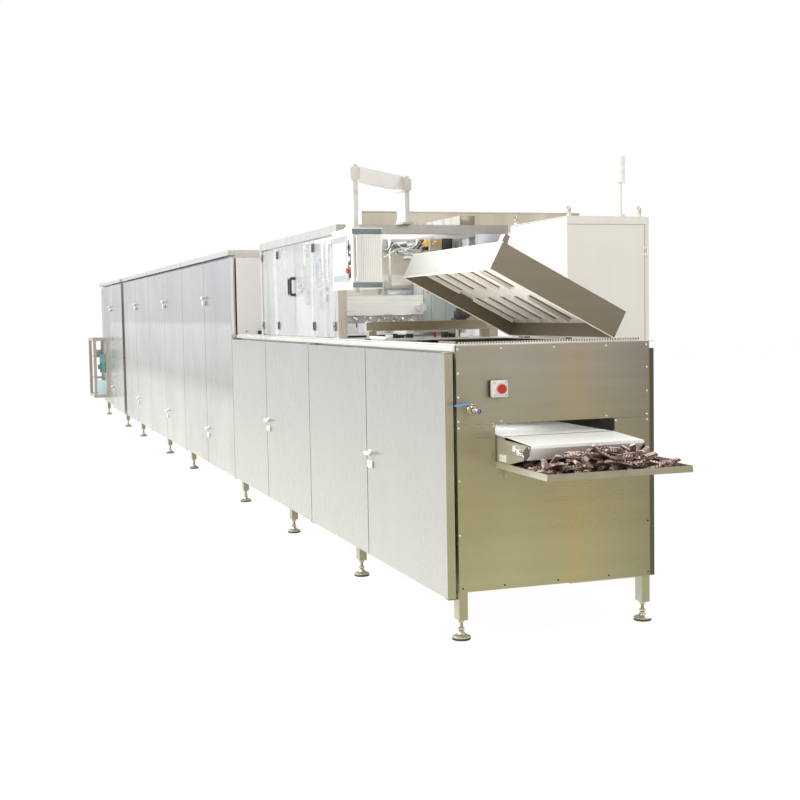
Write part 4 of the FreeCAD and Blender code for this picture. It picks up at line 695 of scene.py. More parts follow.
# Belt conveyor: side plates cut from sheet, a white coated belt over a thin nose,
# and the take-up screws on each side near the nose.
belt_white = moulded("belt_coating", tone(254, 254, 251), worn=tone(246, 243, 235), wear=0.3,
                     roughness=0.38, scale=250)
dress(["conveyor_belt"], belt_white)
plate_steel = steel("plate_steel", [(0, tone(230, 226, 208, 0.95))],
                    end=[(0, tone(168, 160, 136, 0.85))], up=[(0, tone(214, 211, 202, 0.85))],
                    grain=(5, 180, 180), streak=0.08, stained=0.3, stain=tone(128, 106, 84, 0.85))
dress(["conveyor_frame", "conveyor_drive_roller", "receiving_tray"], plate_steel)
bm = bmesh.new()
for side, face in ((-1, 0.184), (1, 0.710)):
    for x, z in ((0.205, 0.838), (0.245, 0.826)):
        low_y, high_y = sorted((face, face + side * 0.012))
        block(bm, at(x - 0.014, low_y, z - 0.012), at(x + 0.014, high_y, z + 0.012), edge=0.002)
        rod(bm, at(x + 0.012, face + side * 0.007, z), at(x + 0.055, face + side * 0.007,
                                                          z - 0.012), 0.004, sides=12)
        rod(bm, at(x + 0.030, face + side * 0.007, z - 0.005),
            at(x + 0.038, face + side * 0.007, z - 0.007), 0.008, sides=6)
    low_y, high_y = sorted((face, face + side * 0.004))
    block(bm, at(0.035, low_y, 0.770), at(0.110, high_y, 0.800), edge=0.0015)
make("take_up_screws", bm, polished)
bm = bmesh.new()
for side, face in ((-1, 0.184), (1, 0.710)):
    low_y, high_y = sorted((face, face + side * 0.006))
    block(bm, at(0.285, low_y, 0.806), at(0.334, high_y, 0.846), edge=0.002,
          turn=Matrix.Rotation(math.radians(-35), 4, "Y"))
make("nose_caps", bm, moulded("nose_cap", tone(84, 68, 52), worn=tone(120, 104, 84), wear=0.6))
# A thin darker bar across the belt, where it bends down to the nose, is painted shade along the fold.
bm = bmesh.new()
block(bm, at(0.074, 0.188, 0.8772), at(0.080, 0.706, 0.8790), edge=0.0005)
make("belt_fold_bar", bm, steel("fold_bar", [(0, tone(150, 140, 126, 0.85))]))


# Heap of moulded bars: each bar is a row of trapezoid segments on a thin web, as
# it comes out of its mould, and the bars lie on the tray as they fell.
chocolate, tree = blank("chocolate")
place = add(tree, "ShaderNodeTexCoord").outputs["Object"]
# The bars' upward faces blend from dark brown to a pale painted highlight, varied from bar to bar by a
# bloom noise; their other faces stay dark brown.
bloom_and_highlight = scaled(tree, noise(tree, place, 26.0, 3.0), 0.3, 1, 0.40, 0.58)
crumb = noise(tree, place, 260.0, 4.0)
facing = add(tree, "ShaderNodeSeparateXYZ",
             {"Vector": add(tree, "ShaderNodeTexCoord").outputs["Normal"]})
painted_top_highlight = maths(tree, "MULTIPLY", scaled(tree, facing.outputs["Z"], 0, 1, 0.2, 0.75), bloom_and_highlight)
painted_sheen = blended(tree, painted_top_highlight, tone(104, 80, 68), tone(255, 232, 218))
bent = add(tree, "ShaderNodeBump", {"Height": crumb, "Strength": 0.2, "Distance": 0.001})
shade(tree, {"Base Color": painted_sheen, "Roughness": scaled(tree, crumb, 0.45, 0.6),
             "Normal": bent.outputs[0], "Specular IOR Level": 0.35})
bar = bmesh.new()
segments, pitch = 6, 0.0128
block(bar, (-segments * pitch / 2, -0.0135, 0), (segments * pitch / 2, 0.0135, 0.0030),
      edge=0.0006)
for step in range(segments):
    middle_x = (step - (segments - 1) / 2) * pitch
    bmesh.ops.create_cone(bar, cap_ends=True, segments=4, radius1=0.0076, radius2=0.0056,
                          depth=0.0082, matrix=Matrix.Translation((middle_x, 0, 0.0071))
                          @ Matrix.Diagonal((1, 2.3, 1, 1)) @ Matrix.Rotation(math.pi / 4, 4, "Z"))
random.seed(11)
spots = []
turns = []


def pile_height(x, y):
    """How high the bars are heaped over the tray's floor."""
    across = (y - 0.48) / 0.30
    ridge = 0.082 * math.exp(-((x - 0.415) / 0.055) ** 2 - abs(across) ** 2.2)
    return ridge + 0.024 * math.exp(-((x - 0.25) / 0.20) ** 4 - abs(across) ** 6)


while len(spots) < 270:
    x, y = random.uniform(0.045, 0.465), random.uniform(0.222, 0.792)
    top = pile_height(x, y)
    if random.random() > 0.20 + 9 * top:
        continue
    ceiling = 0.850 if x > 0.345 else 0.772
    layer = random.choice((0.25, 0.5, 0.75, 1.0, 1.0))
    spots.append(at(x, y, min(0.742 + layer * top, ceiling - 0.012)))
    lean = 0.16 + 3.6 * top
    flip = math.pi if random.random() < 0.2 else 0
    turns.append((random.gauss(0, lean) + flip, random.gauss(0, 0.7 * lean),
                  random.uniform(0, math.tau)))
heap = repeat("chocolate_bars", bar, spots, chocolate, turns=turns, smooth=20)
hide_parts("chocolate_heap")

# Lid: a deep brushed cover with a hemmed rim on three black hinges, open over the
# well. Inside it the louvred baffle carries ivory slats that turn the draught down.
# Lid faces towards the output end take a warm brown painted shade, darker than the door-side faces.
end_wall_painted_shade = [(1.2, tone(128, 119, 101, 0.8)), (1.8, tone(134, 125, 106, 0.8))]
lid_steel = steel("lid_steel", [(0, tone(236, 234, 228, 0.92))], end=end_wall_painted_shade,
                  up=[(0, tone(226, 225, 221, 0.86))], grain=(5, 5, 180), streak=0.03,
                  stained=0.1, roughness=0.34, metallic=0.55)
baffle_steel = steel("baffle_steel", [(0, tone(255, 251, 244))], grain=(180, 5, 5), streak=0.03,
                     stained=0.2, stain=tone(206, 186, 160), roughness=0.34, metallic=0.0)
dress(["lid_shell"], lid_steel)
dress(["lid_baffle"], baffle_steel)
lid_angle = math.radians(27.5)
lid_turn = Matrix.Rotation(-lid_angle, 4, "X")


def boxes(bm, rows, edge=0.001, turn=None):
    """Blocks from rows of low and high x, y and z in station millimetres."""
    for x_low, x_high, y_low, y_high, z_low, z_high in rows:
        block(bm, at(x_low / 1000, y_low / 1000, z_low / 1000),
              at(x_high / 1000, y_high / 1000, z_high / 1000), edge, turn)


def blocks(name, material, rows, body="line", edge=0.001, turn=None):
    bm = bmesh.new()
    boxes(bm, rows, edge, turn)
    return make(name, bm, material, body)


def lid_blocks(bm, rows, edge=0.001):
    """Blocks in the lid's own frame: x, the way out from the hinge and the height over the rim."""
    for x_low, x_high, out_low, out_high, rise_low, rise_high in rows:
        out, rise = (out_low + out_high) / 2000, (rise_low + rise_high) / 2000
        middle = at((x_low + x_high) / 2000, 0.812 - out * math.cos(lid_angle)
                    + rise * math.sin(lid_angle), 1.272 + out * math.sin(lid_angle)
                    + rise * math.cos(lid_angle))
        half = Vector((x_high - x_low, out_high - out_low, rise_high - rise_low)) / 2000
        block(bm, middle - half, middle + half, edge, lid_turn)


slat_ivory = steel("slat_ivory", [(0, tone(255, 246, 230))], end=[(0, tone(255, 246, 230))],
                   grain=(5, 5, 180),
                   streak=0.02, stained=0.2, stain=tone(222, 200, 172), roughness=0.4,
                   metallic=0.0)
slat_steps = [-1250 + 1150 * (column + 0.5) / 7 - 20 for column in range(7)]
bm = bmesh.new()
for x in slat_steps:
    for low in (51, 388):
        lid_blocks(bm, [(x - 5, x + 2, low - 1, low + 251, 59.5, 74.8),
                        (x - 5, x + 9, low - 1, low + 251, 56, 59.5)])
make("lid_slats", bm, slat_ivory, "lid")
# Brown sheets on the lid's inner walls and behind the slots are painted shade.
lid_painted_shade = moulded("lid_inner_shade", tone(104, 93, 74), worn=tone(84, 72, 56), wear=0.6,
                    roughness=0.45)
bm = bmesh.new()
lid_blocks(bm, [(-1247.5, -1246.5, 10, 679, 3, 74), (-1246, -103, 10.5, 11.5, 3, 74)], edge=0)
for x in slat_steps:
    for low in (51, 388):
        lid_blocks(bm, [(x + 1.6, x + 38, low + 2, low + 248, 78, 80)], edge=0)
make("lid_inner_walls", bm, lid_painted_shade, "lid")
bm = bmesh.new()
lid_blocks(bm, [(-1254, -1246, 6, 683, -1, 3), (-104, -96, 6, 683, -1, 3),
                (-1254, -96, 679, 686, -1, 3), (-1254, -96, 680, 685, 128, 135)], edge=0.001)
make("lid_hem", bm, slat_ivory, "lid")
black = moulded("black_cast", tone(44, 44, 46), worn=tone(78, 76, 72), roughness=0.42)
blocks("lid_hinge_covers", black, [(-x - 30, -x + 30, 819, 850, 1265.2, 1272) for x in
                                   (164, 634, 1118)], edge=0.002)

# Deck: folded covers round the well with a bright edge along the doors, the roller
# chain that rides on the near cover, and the small fittings by the mould path.
deck_steel = steel("deck_steel", [(0, tone(233, 232, 227, 0.92))],
                   end=[(0, tone(196, 190, 170, 0.9))],
                   up=[(0, tone(226, 224, 218, 0.88))], grain=(5, 5, 180), streak=0.05,
                   stained=0.5, stain=tone(196, 182, 160, 0.95), roughness=0.36, metallic=0.5)
dress(["top_deck"], deck_steel)
edge_strip = steel("deck_edge_fold", [(0, tone(226, 226, 220, 0.92))],
                   up=[(0, tone(255, 255, 252, 0.95))], grain=(5, 5, 180), metallic=0.4)
blocks("deck_edge_folds", edge_strip, [(-4462, -2, -13, -0.5, 1240, 1263),
                                       (-4462, -2, -6, 6, 1265.2, 1271)])
chocolate_crumb = bmesh.new()
block(chocolate_crumb, (-0.004, -0.002, 0), (0.004, 0.002, 0.0022), edge=0.0008)
random.seed(5)
crumbs = [at(random.uniform(-4.4, -0.1), random.uniform(0.010, 0.1),
             1.2652) for count in range(70)]
repeat("deck_crumbs", chocolate_crumb, crumbs, chocolate,
       turns=[(0, 0, random.uniform(0, 3)) for spot in crumbs])
chain_steel = steel("chain_steel", [(0, tone(140, 130, 112))], grain=(300, 300, 300), streak=0.15,
                    stained=0.6, stain=tone(84, 68, 54), roughness=0.42)
dress(["mould_chain", "chain_shaft"], chain_steel)
link = bmesh.new()
for side in (-1, 1):
    block(link, (-0.0034, side * 0.0035 - 0.0006, 0.0016),
          (0.0034, side * 0.0035 + 0.0006, 0.0084),
          edge=0.0005)
dark_roller = bmesh.new()
rod(dark_roller, (0.00635, -0.0028, 0.005), (0.00635, 0.0028, 0.005), 0.0044, sides=12)
chain_spots = [at(-0.030, 0.030 + 0.0127 * step, 1.2685) for step in range(68)]
chain_turns = [(0, 0, math.pi / 2)] * 68
chain_spots += [at(-0.052 - 0.0127 * step, 0.024, 1.2712) for step in range(16)]
chain_turns += [(0, 0, 0)] * 16
blocks("deck_chain_rail", edge_strip, [(-37, -23, 24, 892, 1265.2, 1269.5)])
repeat("deck_chain_links", link, chain_spots, steel("chain_link", [(0, tone(214, 206, 190))],
                                                    metallic=0.6), turns=chain_turns)
roller_brown = moulded("roller_dark", tone(70, 56, 44), worn=tone(110, 92, 70), wear=0.6)
repeat("deck_chain_rollers", dark_roller, [spot + Vector((0, 0, 0.0005)) for spot in chain_spots],
       roller_brown, turns=chain_turns)
mould_clear = moulded("mould_plate", tone(232, 234, 232, 0.9), worn=tone(196, 178, 160), wear=0.5,
                      roughness=0.25)
dress(["moulds"], mould_clear)

# Cooling units: cream-coated end panels and insulated walls under roof caps that
# are folded from sheet, with lap joints between them, over a dark recessed band.
cream = moulded("cream_coating", tone(236, 233, 224, 0.8), worn=tone(226, 221, 208, 0.8),
                wear=0.35, roughness=0.42, scale=120)
dress(["cooling_tunnel"], cream)
roof_steel = steel("roof_steel", [(0, tone(214, 216, 220, 0.9))],
                   end=[(0, tone(180, 178, 172, 0.85))],
                   up=[(0, tone(236, 237, 240, 0.95))], grain=(5, 5, 180), streak=0.05,
                   stained=0.15, roughness=0.3)
dress(["roof_caps"], roof_steel)
blocks("roof_lap_strips", roof_steel,
       [(-4480 - 2240 * unit - 20, -4480 - 2240 * unit + 20, -59.5, 964, 1861, 1902.5)
        for unit in (1, 2)])
hole_ring = bmesh.new()
rod(hole_ring, (-0.001, 0, 0), (0.003, 0, 0), 0.022, sides=32)
rod(hole_ring, (0.003, 0, 0), (0.0045, 0, 0), 0.017, sides=32)
repeat("end_panel_plug", hole_ring, [at(-4.465, 0.098, 1.802)], cream)
blocks("end_panel_bracket", black, [(-4465, -4445, 150, 236, 1267, 1292),
                                    (-4464.5, -4461, 60, 70, 1284, 1294)],
       edge=0.003)

tall_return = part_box("tall_door_1")
bm = bmesh.new()
block(bm, (tall_return[1].x - 0.0002, door_side - 0.045, tall_return[0].z + 1.09),
      (tall_return[1].x + 0.0008, door_side - 0.022, tall_return[1].z))
make("tall_door_return", bm, cream, "tall_door_1")

# Guard: ground square tube with welded end caps, four clear leaves with black
# hinges and bow handles, and a grey sheet box on the far side.
guard_steel = steel("guard_steel",
                    [(1.2, tone(214, 212, 206, 0.85)), (1.9, tone(222, 221, 216, 0.85))],
                    end=[(1.2, tone(188, 180, 165, 0.86)), (1.8, tone(190, 182, 167, 0.86)),
                         (1.85, tone(156, 153, 147, 0.8))],
                    streak=0.06, stained=0.2, roughness=0.34)
dress(["guard_frame", "drive_guard"], guard_steel)
blocks("guard_end_caps", guard_steel,
       [(x, x + 50, y, y + 2, 1846, 1896) for x in (-1795, -3660) for y in (-1.8, 949.8)])
acrylic, tree = blank("clear_acrylic")
place = add(tree, "ShaderNodeTexCoord").outputs["Object"]
tall_place = add(tree, "ShaderNodeVectorMath", {0: place, 1: (7.0, 7.0, 0.5)},
                 operation="MULTIPLY").outputs[0]
wiped = scaled(tree, noise(tree, place, 2.2, 4.0), 0.22, 0.38, 0.35, 0.7)
streaks = scaled(tree, noise(tree, tall_place, 1.0, 3.0), 0.0, 0.40, 0.50, 0.72)
shade(tree, {"Base Color": (0.66, 0.68, 0.69, 1), "Roughness": 0.08,
             "Alpha": maths(tree, "ADD", wiped, streaks), "Specular IOR Level": 0.6})
leaves = [name for name in nodes if name.startswith("guard_leaf")]
dress(leaves + ["guard_clear_panels"], acrylic)
hinge_sides = {"line": [(-1807, -1781, -5, 0), (-3619, -3593, -5, 0)],
               "guard_leaf_1": [(-1839, -1813, -5, -0.2), (-2252, -2226, -3, -0.2)],
               "guard_leaf_2": [(-2284, -2258, -3, -0.2)],
               "guard_leaf_3": [(-3142, -3116, -3, -0.2)],
               "guard_leaf_4": [(-3587, -3561, -5, -0.2), (-3174, -3148, -3, -0.2)]}
for body, plates in hinge_sides.items():
    rows = [plate + (height - 24.5, height + 24.5) for plate in plates for height in (1337, 1795)]
    blocks("hinges_" + body, black, rows, body=body, edge=0.002)
for body, x in (("guard_leaf_2", -2.682), ("guard_leaf_3", -2.718)):
    bm = bmesh.new()
    pipe(bm,
         [at(x, -0.001, 1.529), at(x, -0.026, 1.529), at(x, -0.0335, 1.538), at(x, -0.0335, 1.622),
              at(x, -0.026, 1.631), at(x, -0.001, 1.631)], 0.0088)
    make("handle_" + body, bm, black, body)
grey_sheet = steel("grey_sheet", [(0, tone(186, 188, 194, 0.85))],
                   end=[(0, tone(182, 184, 190, 0.85))],
                   grain=(180, 180, 5), streak=0.06, metallic=0.5)
blocks("guard_side_sheet", grey_sheet, [(-1748, -1743, 817, 1021, 1560, 1846)])

# Depositor: machined side plates, a heated block and a tan hopper. Its cylinders,
# pipes, valves and hoses are clipped to uprights on the side plates.
depositor_steel = steel("depositor_steel", [(0, tone(210, 208, 202, 0.9))],
                        end=[(0, tone(236, 235, 229))], up=[(0, tone(240, 239, 234))],
                        grain=(180, 5, 180), streak=0.05, stained=0.2, stain=tone(206, 200, 188),
                        roughness=0.32, metallic=0.2)
dress(["depositor_body", "depositor_nozzle_bar"], depositor_steel)
hopper_steel = steel("hopper_steel", [(0, tone(206, 200, 190, 0.9))],
                     end=[(0, tone(232, 222, 206))],
                     grain=(180, 5, 180), stained=0.3, stain=tone(200, 186, 164), roughness=0.4,
                     metallic=0.1)
dress(["depositor_hopper"], hopper_steel)
bright = steel("bright_fittings", [(0, tone(222, 222, 218, 0.95))], grain=(300, 300, 300),
               streak=0.04,
               stained=0.2, roughness=0.25, metallic=0.7)
works_dark = moulded("works_dark", tone(128, 130, 124), worn=tone(196, 194, 184), wear=0.9,
                     scale=60)
works_grey = moulded("works_grey", tone(176, 177, 172), worn=tone(216, 214, 206), wear=0.9,
                     scale=60)
blocks("works_back_plates", works_grey, [
    (-2262, -2250, 430, 900, 1780, 1846), (-2262, -2250, 400, 412, 1520, 1780),
    (-2180, -2168, 700, 860, 1740, 1846), (-2080, -2032, 130, 560, 1360, 1394),
    (-2262, -2150, 882, 900, 1265, 1846)])
random.seed(23)
bm = bmesh.new()
for count in range(13):
    y, z = random.uniform(0.42, 0.84), random.uniform(1.725, 1.835)
    long = random.uniform(0.05, 0.13)
    rod(bm, at(-2.235, y, z), at(-2.235, y + long, z + random.uniform(-0.02, 0.02)),
        random.uniform(0.010, 0.022), sides=16)
    rod(bm, at(-2.25, y + long / 2, z), at(-2.215, y + long / 2, z), 0.007, sides=10)
for count in range(16):
    x, z = random.uniform(-2.95, -1.9), random.uniform(1.33, 1.78)
    tall = random.uniform(0.05, 0.16)
    rod(bm, at(x, 0.074, z), at(x, 0.074, z + tall), random.uniform(0.007, 0.018), sides=14)
    block(bm, at(x - 0.02, 0.078, z + 0.3 * tall), at(x + 0.02, 0.0925, z + 0.6 * tall),
          edge=0.002)
for x in (-2.86, -2.62, -2.44, -2.335, -2.18):
    block(bm, at(x, 0.093, 1.30), at(x + 0.022, 0.109, 1.845), edge=0.001)
for y in (0.455, 0.63, 0.79):
    block(bm, at(-2.232, y, 1.56), at(-2.222, y + 0.018, 1.845), edge=0.001)
for count in range(26):
    y, z = random.uniform(0.14, 0.54), random.uniform(1.345, 1.392)
    rod(bm, at(-2.030, y, z), at(-2.012, y + random.uniform(-0.02, 0.02), z + 0.006),
        random.uniform(0.003, 0.009), sides=10)
make("works_fittings", bm, bright)
hose_tones = {"hose_clear": tone(226, 228, 226), "hose_black": tone(62, 62, 60),
              "hose_blue": tone(120, 186, 236)}
for name, colour in hose_tones.items():
    bm = bmesh.new()
    if name == "hose_blue":
        pipe(bm, [at(-2.435, 0.088, 1.74), at(-2.43, 0.080, 1.68), at(-2.36, 0.080, 1.57),
                  at(-2.345, 0.090, 1.50)], 0.0045)
        pipe(bm, [at(-1.985, 0.466, 1.508), at(-1.972, 0.480, 1.522), at(-1.985, 0.494, 1.508)],
             0.004)
    else:
        for count in range(12):
            y, z = random.uniform(0.42, 0.80), random.uniform(1.70, 1.80)
            reach, rise = random.uniform(0.03, 0.12), random.uniform(0.02, 0.06)
            arc = [at(-2.205 + 0.02 * math.sin(2 * turn), y + reach * turn / 2,
                      min(z + rise * math.sin(turn), 1.838)) for turn in (0, 0.5, 1, 1.6, 2.1,
                                                                          2.7, 3.1)]
            pipe(bm, [arc[0] + Vector((-0.045, 0, 0))] + arc + [arc[-1] + Vector((-0.045, 0, 0))],
                 random.uniform(0.003, 0.005), sides=8)
    make(name, bm, moulded(name, colour, roughness=0.3))
yellow = moulded("yellow_case", tone(246, 186, 52), worn=tone(226, 170, 60), roughness=0.4)
blocks("yellow_case", yellow, [(-2222, -2168, 674, 769, 1797, 1845)],
       edge=0.004)
blocks("yellow_case_base", black, [(-2220, -2172, 694, 755, 1775, 1797),
                                   (-2200, -2150, 775, 838, 1766, 1846)],
       edge=0.003)
blocks("case_label_and_post", bright, [(-2167.5, -2166, 716, 744, 1810, 1834),
                                       (-2160, -2150, 686, 698, 1740, 1846)])
blocks("works_side_sheet", steel("works_side_sheet", [(0, tone(178, 188, 184, 0.9))],
                                 end=[(0, tone(184, 192, 188, 0.95))], metallic=0.3),
       [(-2168, -2160, 590, 866, 1290, 1600), (-2160, -2154, 640, 652, 1310, 1590),
        (-2160, -2154, 700, 712, 1310, 1590), (-2160, -2154, 790, 802, 1310, 1590)])
blocks("yellow_sign", moulded("yellow_sign", tone(250, 232, 70)),
       [(-2159.5, -2158, 735, 765, 1500, 1545)],
       edge=0)
brass = moulded("brass_fitting", tone(200, 164, 104), worn=tone(160, 124, 76), roughness=0.3)
bm = bmesh.new()
rod(bm, at(-1.998, 0.618, 1.532), at(-1.975, 0.618, 1.532), 0.015, sides=6)
rod(bm, at(-1.975, 0.618, 1.532), at(-1.962, 0.618, 1.532), 0.009, sides=20)
make("brass_fitting", bm, brass)
bm = bmesh.new()
lathe(bm, at(-1.954, 0.564, 1.435), (1, 0, 0), [(0, 0), (0.025, 0), (0.025, 0.006), (0.018, 0.007),
                                                (0.016, 0.003), (0.010, 0.003), (0.009, 0.010),
                                                (0, 0.011)])
make("idler_wheel", bm, cream)

# Cross channel: a folded U on two legs over the mould path. Its clamp is a black
# casting with a tilted brass cylinder, and the sensors stand below it.
channel_steel = steel("channel_steel", [(0, tone(238, 236, 230, 0.9))],
                      end=[(0, tone(168, 156, 132, 0.85))], up=[(0, tone(240, 238, 232, 0.9))],
                      grain=(180, 5, 180), streak=0.05, stained=0.3, stain=tone(130, 112, 88, 0.9))
dress(["cross_channel"], channel_steel)
blocks("clamp_body", black,
       [(-1658, -1578, 626, 718, 1361.5, 1372), (-1650, -1572, 642, 708, 1372, 1412),
                             (-1584, -1566, 634, 650, 1390, 1418),
                             (-1584, -1566, 700, 722, 1384, 1400),
                             (-1644, -1586, 650, 700, 1412, 1430)],
                             edge=0.003)
bm = bmesh.new()
rod(bm, at(-1.605, 0.672, 1.425), at(-1.590, 0.696, 1.482), 0.021, sides=28)
rod(bm, at(-1.600, 0.695, 1.428), at(-1.588, 0.720, 1.476), 0.007, sides=12)
make("clamp_cylinder", bm, brass)
blocks("path_sensors", black, [(-1640, -1585, y, y + 26, 1267, 1267 + high) for y, high in
                               ((196, 22), (262, 26), (300, 20), (352, 24), (560, 30),
                                (600, 22))] +
       [(-1300, -1262, 6, 34, 1270, 1276)], edge=0.003)
blocks("path_sensor_light", red, [(-1590, -1580, 500, 510, 1268, 1298)])
blocks("slide_guides", moulded("slide_white", tone(252, 252, 250, 0.95)),
       [(-1560, -1300, 118, 130, 1270, 1284), (-1640, -1560, 214, 252, 1272, 1290),
        (-1560, -1540, 640, 690, 1267, 1290)], edge=0.002)

# Arm: cream-coated columns with flanges and elbow covers, and screws on the sleeve
# plates. Its far column stands on the guard and its near one carries the box.
# The arm's coating uses the sheet shader, so its faces towards the output end take a painted shade and
# its upward faces a painted reflection.
arm_cream = steel("arm_coating", [(0, tone(255, 254, 250, 0.98))],
                  end=[(0, tone(218, 213, 202, 0.82))],
                  up=[(0, tone(250, 249, 245, 0.9))], stain=tone(226, 222, 210, 0.85), streak=0.01,
                  stained=0.3, roughness=0.4, metallic=0.0)
arm_shade = moulded("arm_side", tone(214, 208, 196, 0.85), worn=tone(200, 194, 180, 0.85))
dress(["hmi_arm", "hmi_box"], arm_cream)
blocks("arm_far_sleeve", arm_cream, [(-1839, -1701, 382, 410, 1897, 2076),
                                     (-1849, -1691, 374, 418, 1896.5, 1912),
                                     (-1844, -1696, 378, 414, 1912, 1926)],
       edge=0.004)
blocks("arm_near_sleeve", arm_cream, [(-1359, -1221, -63, -35, 1834, 2076),
                                      (-1366, -1214, -70, -28, 1832.5, 1850)], body="hmi_box",
       edge=0.004)
bm = bmesh.new()
for x, y in ((-1.770, 0.396), (-1.290, -0.049)):
    block(bm, at(x - 0.071, y - 0.030, 2.0775), at(x + 0.071, y + 0.030, 2.150), edge=0.012)
make("arm_elbows", bm, arm_cream, "hmi_arm")
dot_grey = moulded("screw_grey", tone(176, 170, 156))
for name, body, rows in (("arm_screws_far", "line",
                          (0.382, (-1.795, -1.733), (2.070, 2.031, 1.974))),
                         ("arm_screws_near", "hmi_box", (-0.063, (-1.325, -1.243),
                                                         (2.053, 1.929, 1.894)))):
    y, stations, heights = rows
    dot = bmesh.new()
    lathe(dot, (0, 0, 0), (0, -1, 0), [(0, -0.0005), (0.0042, -0.0005), (0.0042, 0.001),
                                       (0.003, 0.002), (0, 0.002)], sides=12)
    repeat(name, dot, [at(x, y, z) for x in stations for z in heights], dot_grey, body=body)
blocks("arm_sleeve_joint", dot_grey, [(-1361, -1219, -64.5, -33.5, 2019, 2022)], body="hmi_box",
       edge=0)

# Control box: an off-white shell with a ribbed extruded side between slate bands, a
# glass screen behind a thin frame, and a black strip of controls with a grip.
box_side = moulded("box_side_grey", tone(222, 221, 215, 0.98), worn=tone(214, 213, 206, 0.96))
slate = moulded("slate_band", tone(98, 110, 110), worn=tone(84, 96, 96))
blocks("box_side_plate", box_side, [(-1112.4, -1110.5, -66, 48, 1562, 1802)], body="hmi_box",
       edge=0)
rib = bmesh.new()
block(rib, (0, -0.0012, -0.120), (0.0016, 0.0012, 0.120), edge=0.0004)
repeat("box_side_ribs", rib, [at(-1.1106, -0.058 + 0.0094 * step, 1.682) for step in range(11)],
       arm_shade, body="hmi_box")
blocks("box_bands", slate,
       [(-1112.4, -1108, -104, 49, 1803, 1827), (-1112.4, -1108, -104, 49, 1537, 1561)],
       body="hmi_box")
blocks("box_caps", arm_cream,
       [(-1470, -1106, -108, 54, 1827.5, 1834), (-1470, -1106, -108, 54, 1529.5, 1536),
                               (-1467, -1113, -107, -104, 1806, 1828),
                               (-1467, -1113, -107, -104, 1535, 1560),
                               (-1112.4, -1106, -104, -98, 1561, 1803)],
       body="hmi_box", edge=0.002)
blocks("box_foot_bracket", moulded("bracket_grey", tone(150, 158, 156)),
       [(-1120, -1106, -92, -72, 1512, 1536)], body="hmi_box")
blocks("screen_frame", box_side,
       [(-1446, -1202, -111, -107, 1798, 1804), (-1446, -1202, -111, -107, 1563, 1569),
                                  (-1446, -1440, -111, -107, 1563, 1804),
                                  (-1208, -1202, -111, -107, 1563, 1804)],
       body="hmi_box")
glass, tree = blank("screen_glass")
place = add(tree, "ShaderNodeTexCoord").outputs["Object"]
level = add(tree, "ShaderNodeSeparateXYZ", {"Vector": place}).outputs["Z"]
bands = maths(tree, "ADD", maths(tree, "GREATER_THAN", level, 1.768),
              maths(tree, "LESS_THAN", level, 1.603))
haze = scaled(tree, noise(tree, place, 12.0, 3.0), 0, 0.35)
lit_glass = blended(tree, haze, tone(240, 240, 237, 0.76), tone(226, 228, 227, 0.76))
shade(tree,
      {"Base Color": blended(tree, bands, lit_glass, tone(186, 193, 198, 0.72)), "Roughness": 0.2})
blocks("screen_glass", glass, [(-1440, -1208, -110, -107, 1569, 1798)], body="hmi_box",
       edge=0)
blocks("control_strip", black,
       [(-1166, -1138, -108.5, -105, 1720, 1756), (-1166, -1138, -108.5, -105, 1650, 1708),
                                (-1166, -1138, -108.5, -105, 1585, 1640),
                                (-1180, -1168, -108.5, -105, 1572, 1776)],
       body="hmi_box")
button_white = moulded("button_white", tone(240, 232, 228, 0.9), roughness=0.3)
dress(["hmi_start_button"], button_white)
dress(["hmi_stop_button"], red)
knob_black = moulded("knob_black", tone(40, 40, 44), roughness=0.35)
dress(["hmi_selector_knob"], knob_black)

# Ducts: thin sheet ducting along the guard's top and across to its riser at the back, with
# lap joints and soft vertical painted reflections, drawn as strong streaks in the grain.
duct_steel = steel("duct_steel", [(0, tone(254, 254, 251))],
                   end=[(0, tone(190, 182, 166, 0.84))], up=[(0, tone(250, 249, 246, 0.95))],
                   grain=(180, 9, 1), streak=0.22, stained=0.3, stain=tone(150, 138, 120, 0.9),
                   roughness=0.34, metallic=0.6)
dress(["overhead_ducts"], duct_steel)
blocks("duct_joints", duct_steel,
       [(-2340.5, -2337, y, y + 6, 1896, 2020) for y in (680, 1080, 1480)] +
       [(-2339, -2336.5, 331, 1779, 2012, 2019)])
# The trunk's end plate is darker than the ducts, as painted shade on its end.
blocks("trunk_end_plate", steel("trunk_end", [(0, tone(142, 134, 122, 0.86))]),
       [(-1744.8, -1743, 724, 816, 1896.5, 1948)])

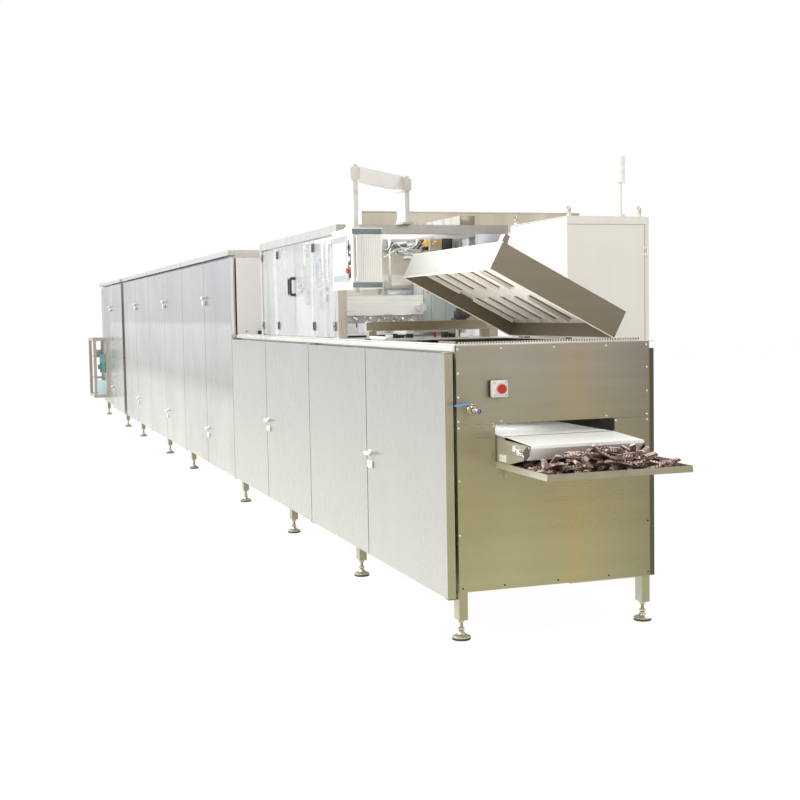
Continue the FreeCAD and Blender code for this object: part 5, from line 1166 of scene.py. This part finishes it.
# Electrical cabinet: ivory-coated folded steel with a top band, edge returns and
# lifting eyes. The white signal tower stands on its roof.
ivory = steel("ivory_coating", [(0, tone(254, 252, 246, 0.92))],
              end=[(0, tone(234, 230, 219, 0.96))],
              up=[(0, tone(226, 223, 214, 0.8))], stain=tone(232, 227, 213, 0.8), streak=0.01,
              stained=0.3, roughness=0.38, metallic=0.0)
dress(["electrical_cabinet", "electrical_cabinet_door"], ivory)
seam_dark = moulded("seam_dark", tone(150, 142, 126))
blocks("cabinet_seams", seam_dark,
       [(-850.5, -848.5, 951, 1399, 1838, 1840), (-850.5, -848.5, 1392, 1394, 101, 1838),
                                    (-1550, -850, 948.5, 950.5, 1874, 1876)],
       edge=0)
eye = bmesh.new()
for step in range(16):
    first, second = math.tau * step / 16, math.tau * (step + 1) / 16
    rod(eye, (0.013 * math.cos(first), 0, 0.026 + 0.013 * math.sin(first)),
        (0.013 * math.cos(second), 0, 0.026 + 0.013 * math.sin(second)), 0.0045, sides=8)
rod(eye, (0, 0, -0.001), (0, 0, 0.014), 0.010, sides=16)
repeat("lifting_eyes", eye, [at(x, y, 1.892) for x in (-0.874, -1.526) for y in (0.974, 1.376)],
       zinc)
lamp_white = moulded("tower_white", tone(244, 244, 240, 0.92), worn=tone(220, 224, 224))
bm = bmesh.new()
lathe(bm, at(-0.905, 1.285, 2.058), (0, 0, 1), [(0, -0.0005), (0.0255, -0.0005), (0.0255, 0.040),
                                                (0.0245, 0.042), (0.0245, 0.044), (0.0255, 0.046),
                                                (0.0255, 0.086), (0.0245, 0.088), (0.0245, 0.090),
                                                (0.0255, 0.092), (0.0255, 0.126), (0.020, 0.131),
                                                (0, 0.1315)], sides=36)
make("signal_tower", bm, lamp_white)

# Side drive: a tan frame with dark shelves, the teal gear motor with its cooling
# ribs and terminal box, and a clear lower panel.
teal = moulded("motor_teal", tone(96, 152, 146), worn=tone(128, 176, 168), roughness=0.4)
dress(["gear_motor"], teal)
bm = bmesh.new()
for step in range(20):
    turned = math.tau * step / 20
    middle = at(-13.404 + 0.054 * math.cos(turned), -0.090 + 0.054 * math.sin(turned), 0.715)
    block(bm, middle - Vector((0.005, 0.0012, 0.062)), middle + Vector((0.005, 0.0012, 0.062)),
          turn=Matrix.Rotation(turned, 4, "Z"))
block(bm, at(-13.44, -0.175, 0.690), at(-13.37, -0.138, 0.755), edge=0.004)
make("motor_ribs", bm, teal)
blocks("drive_shelves", works_dark,
       [(-13960, -13340, -200, -71, 560, 566), (-13960, -13340, -200, -71, 860, 868),
                                     (-13700, -13560, -180, -90, 868, 960)])
blocks("drive_lower_panel", moulded("panel_blue", tone(172, 198, 200)),
       [(-13300, -13296, -196, -76, 332, 540)])
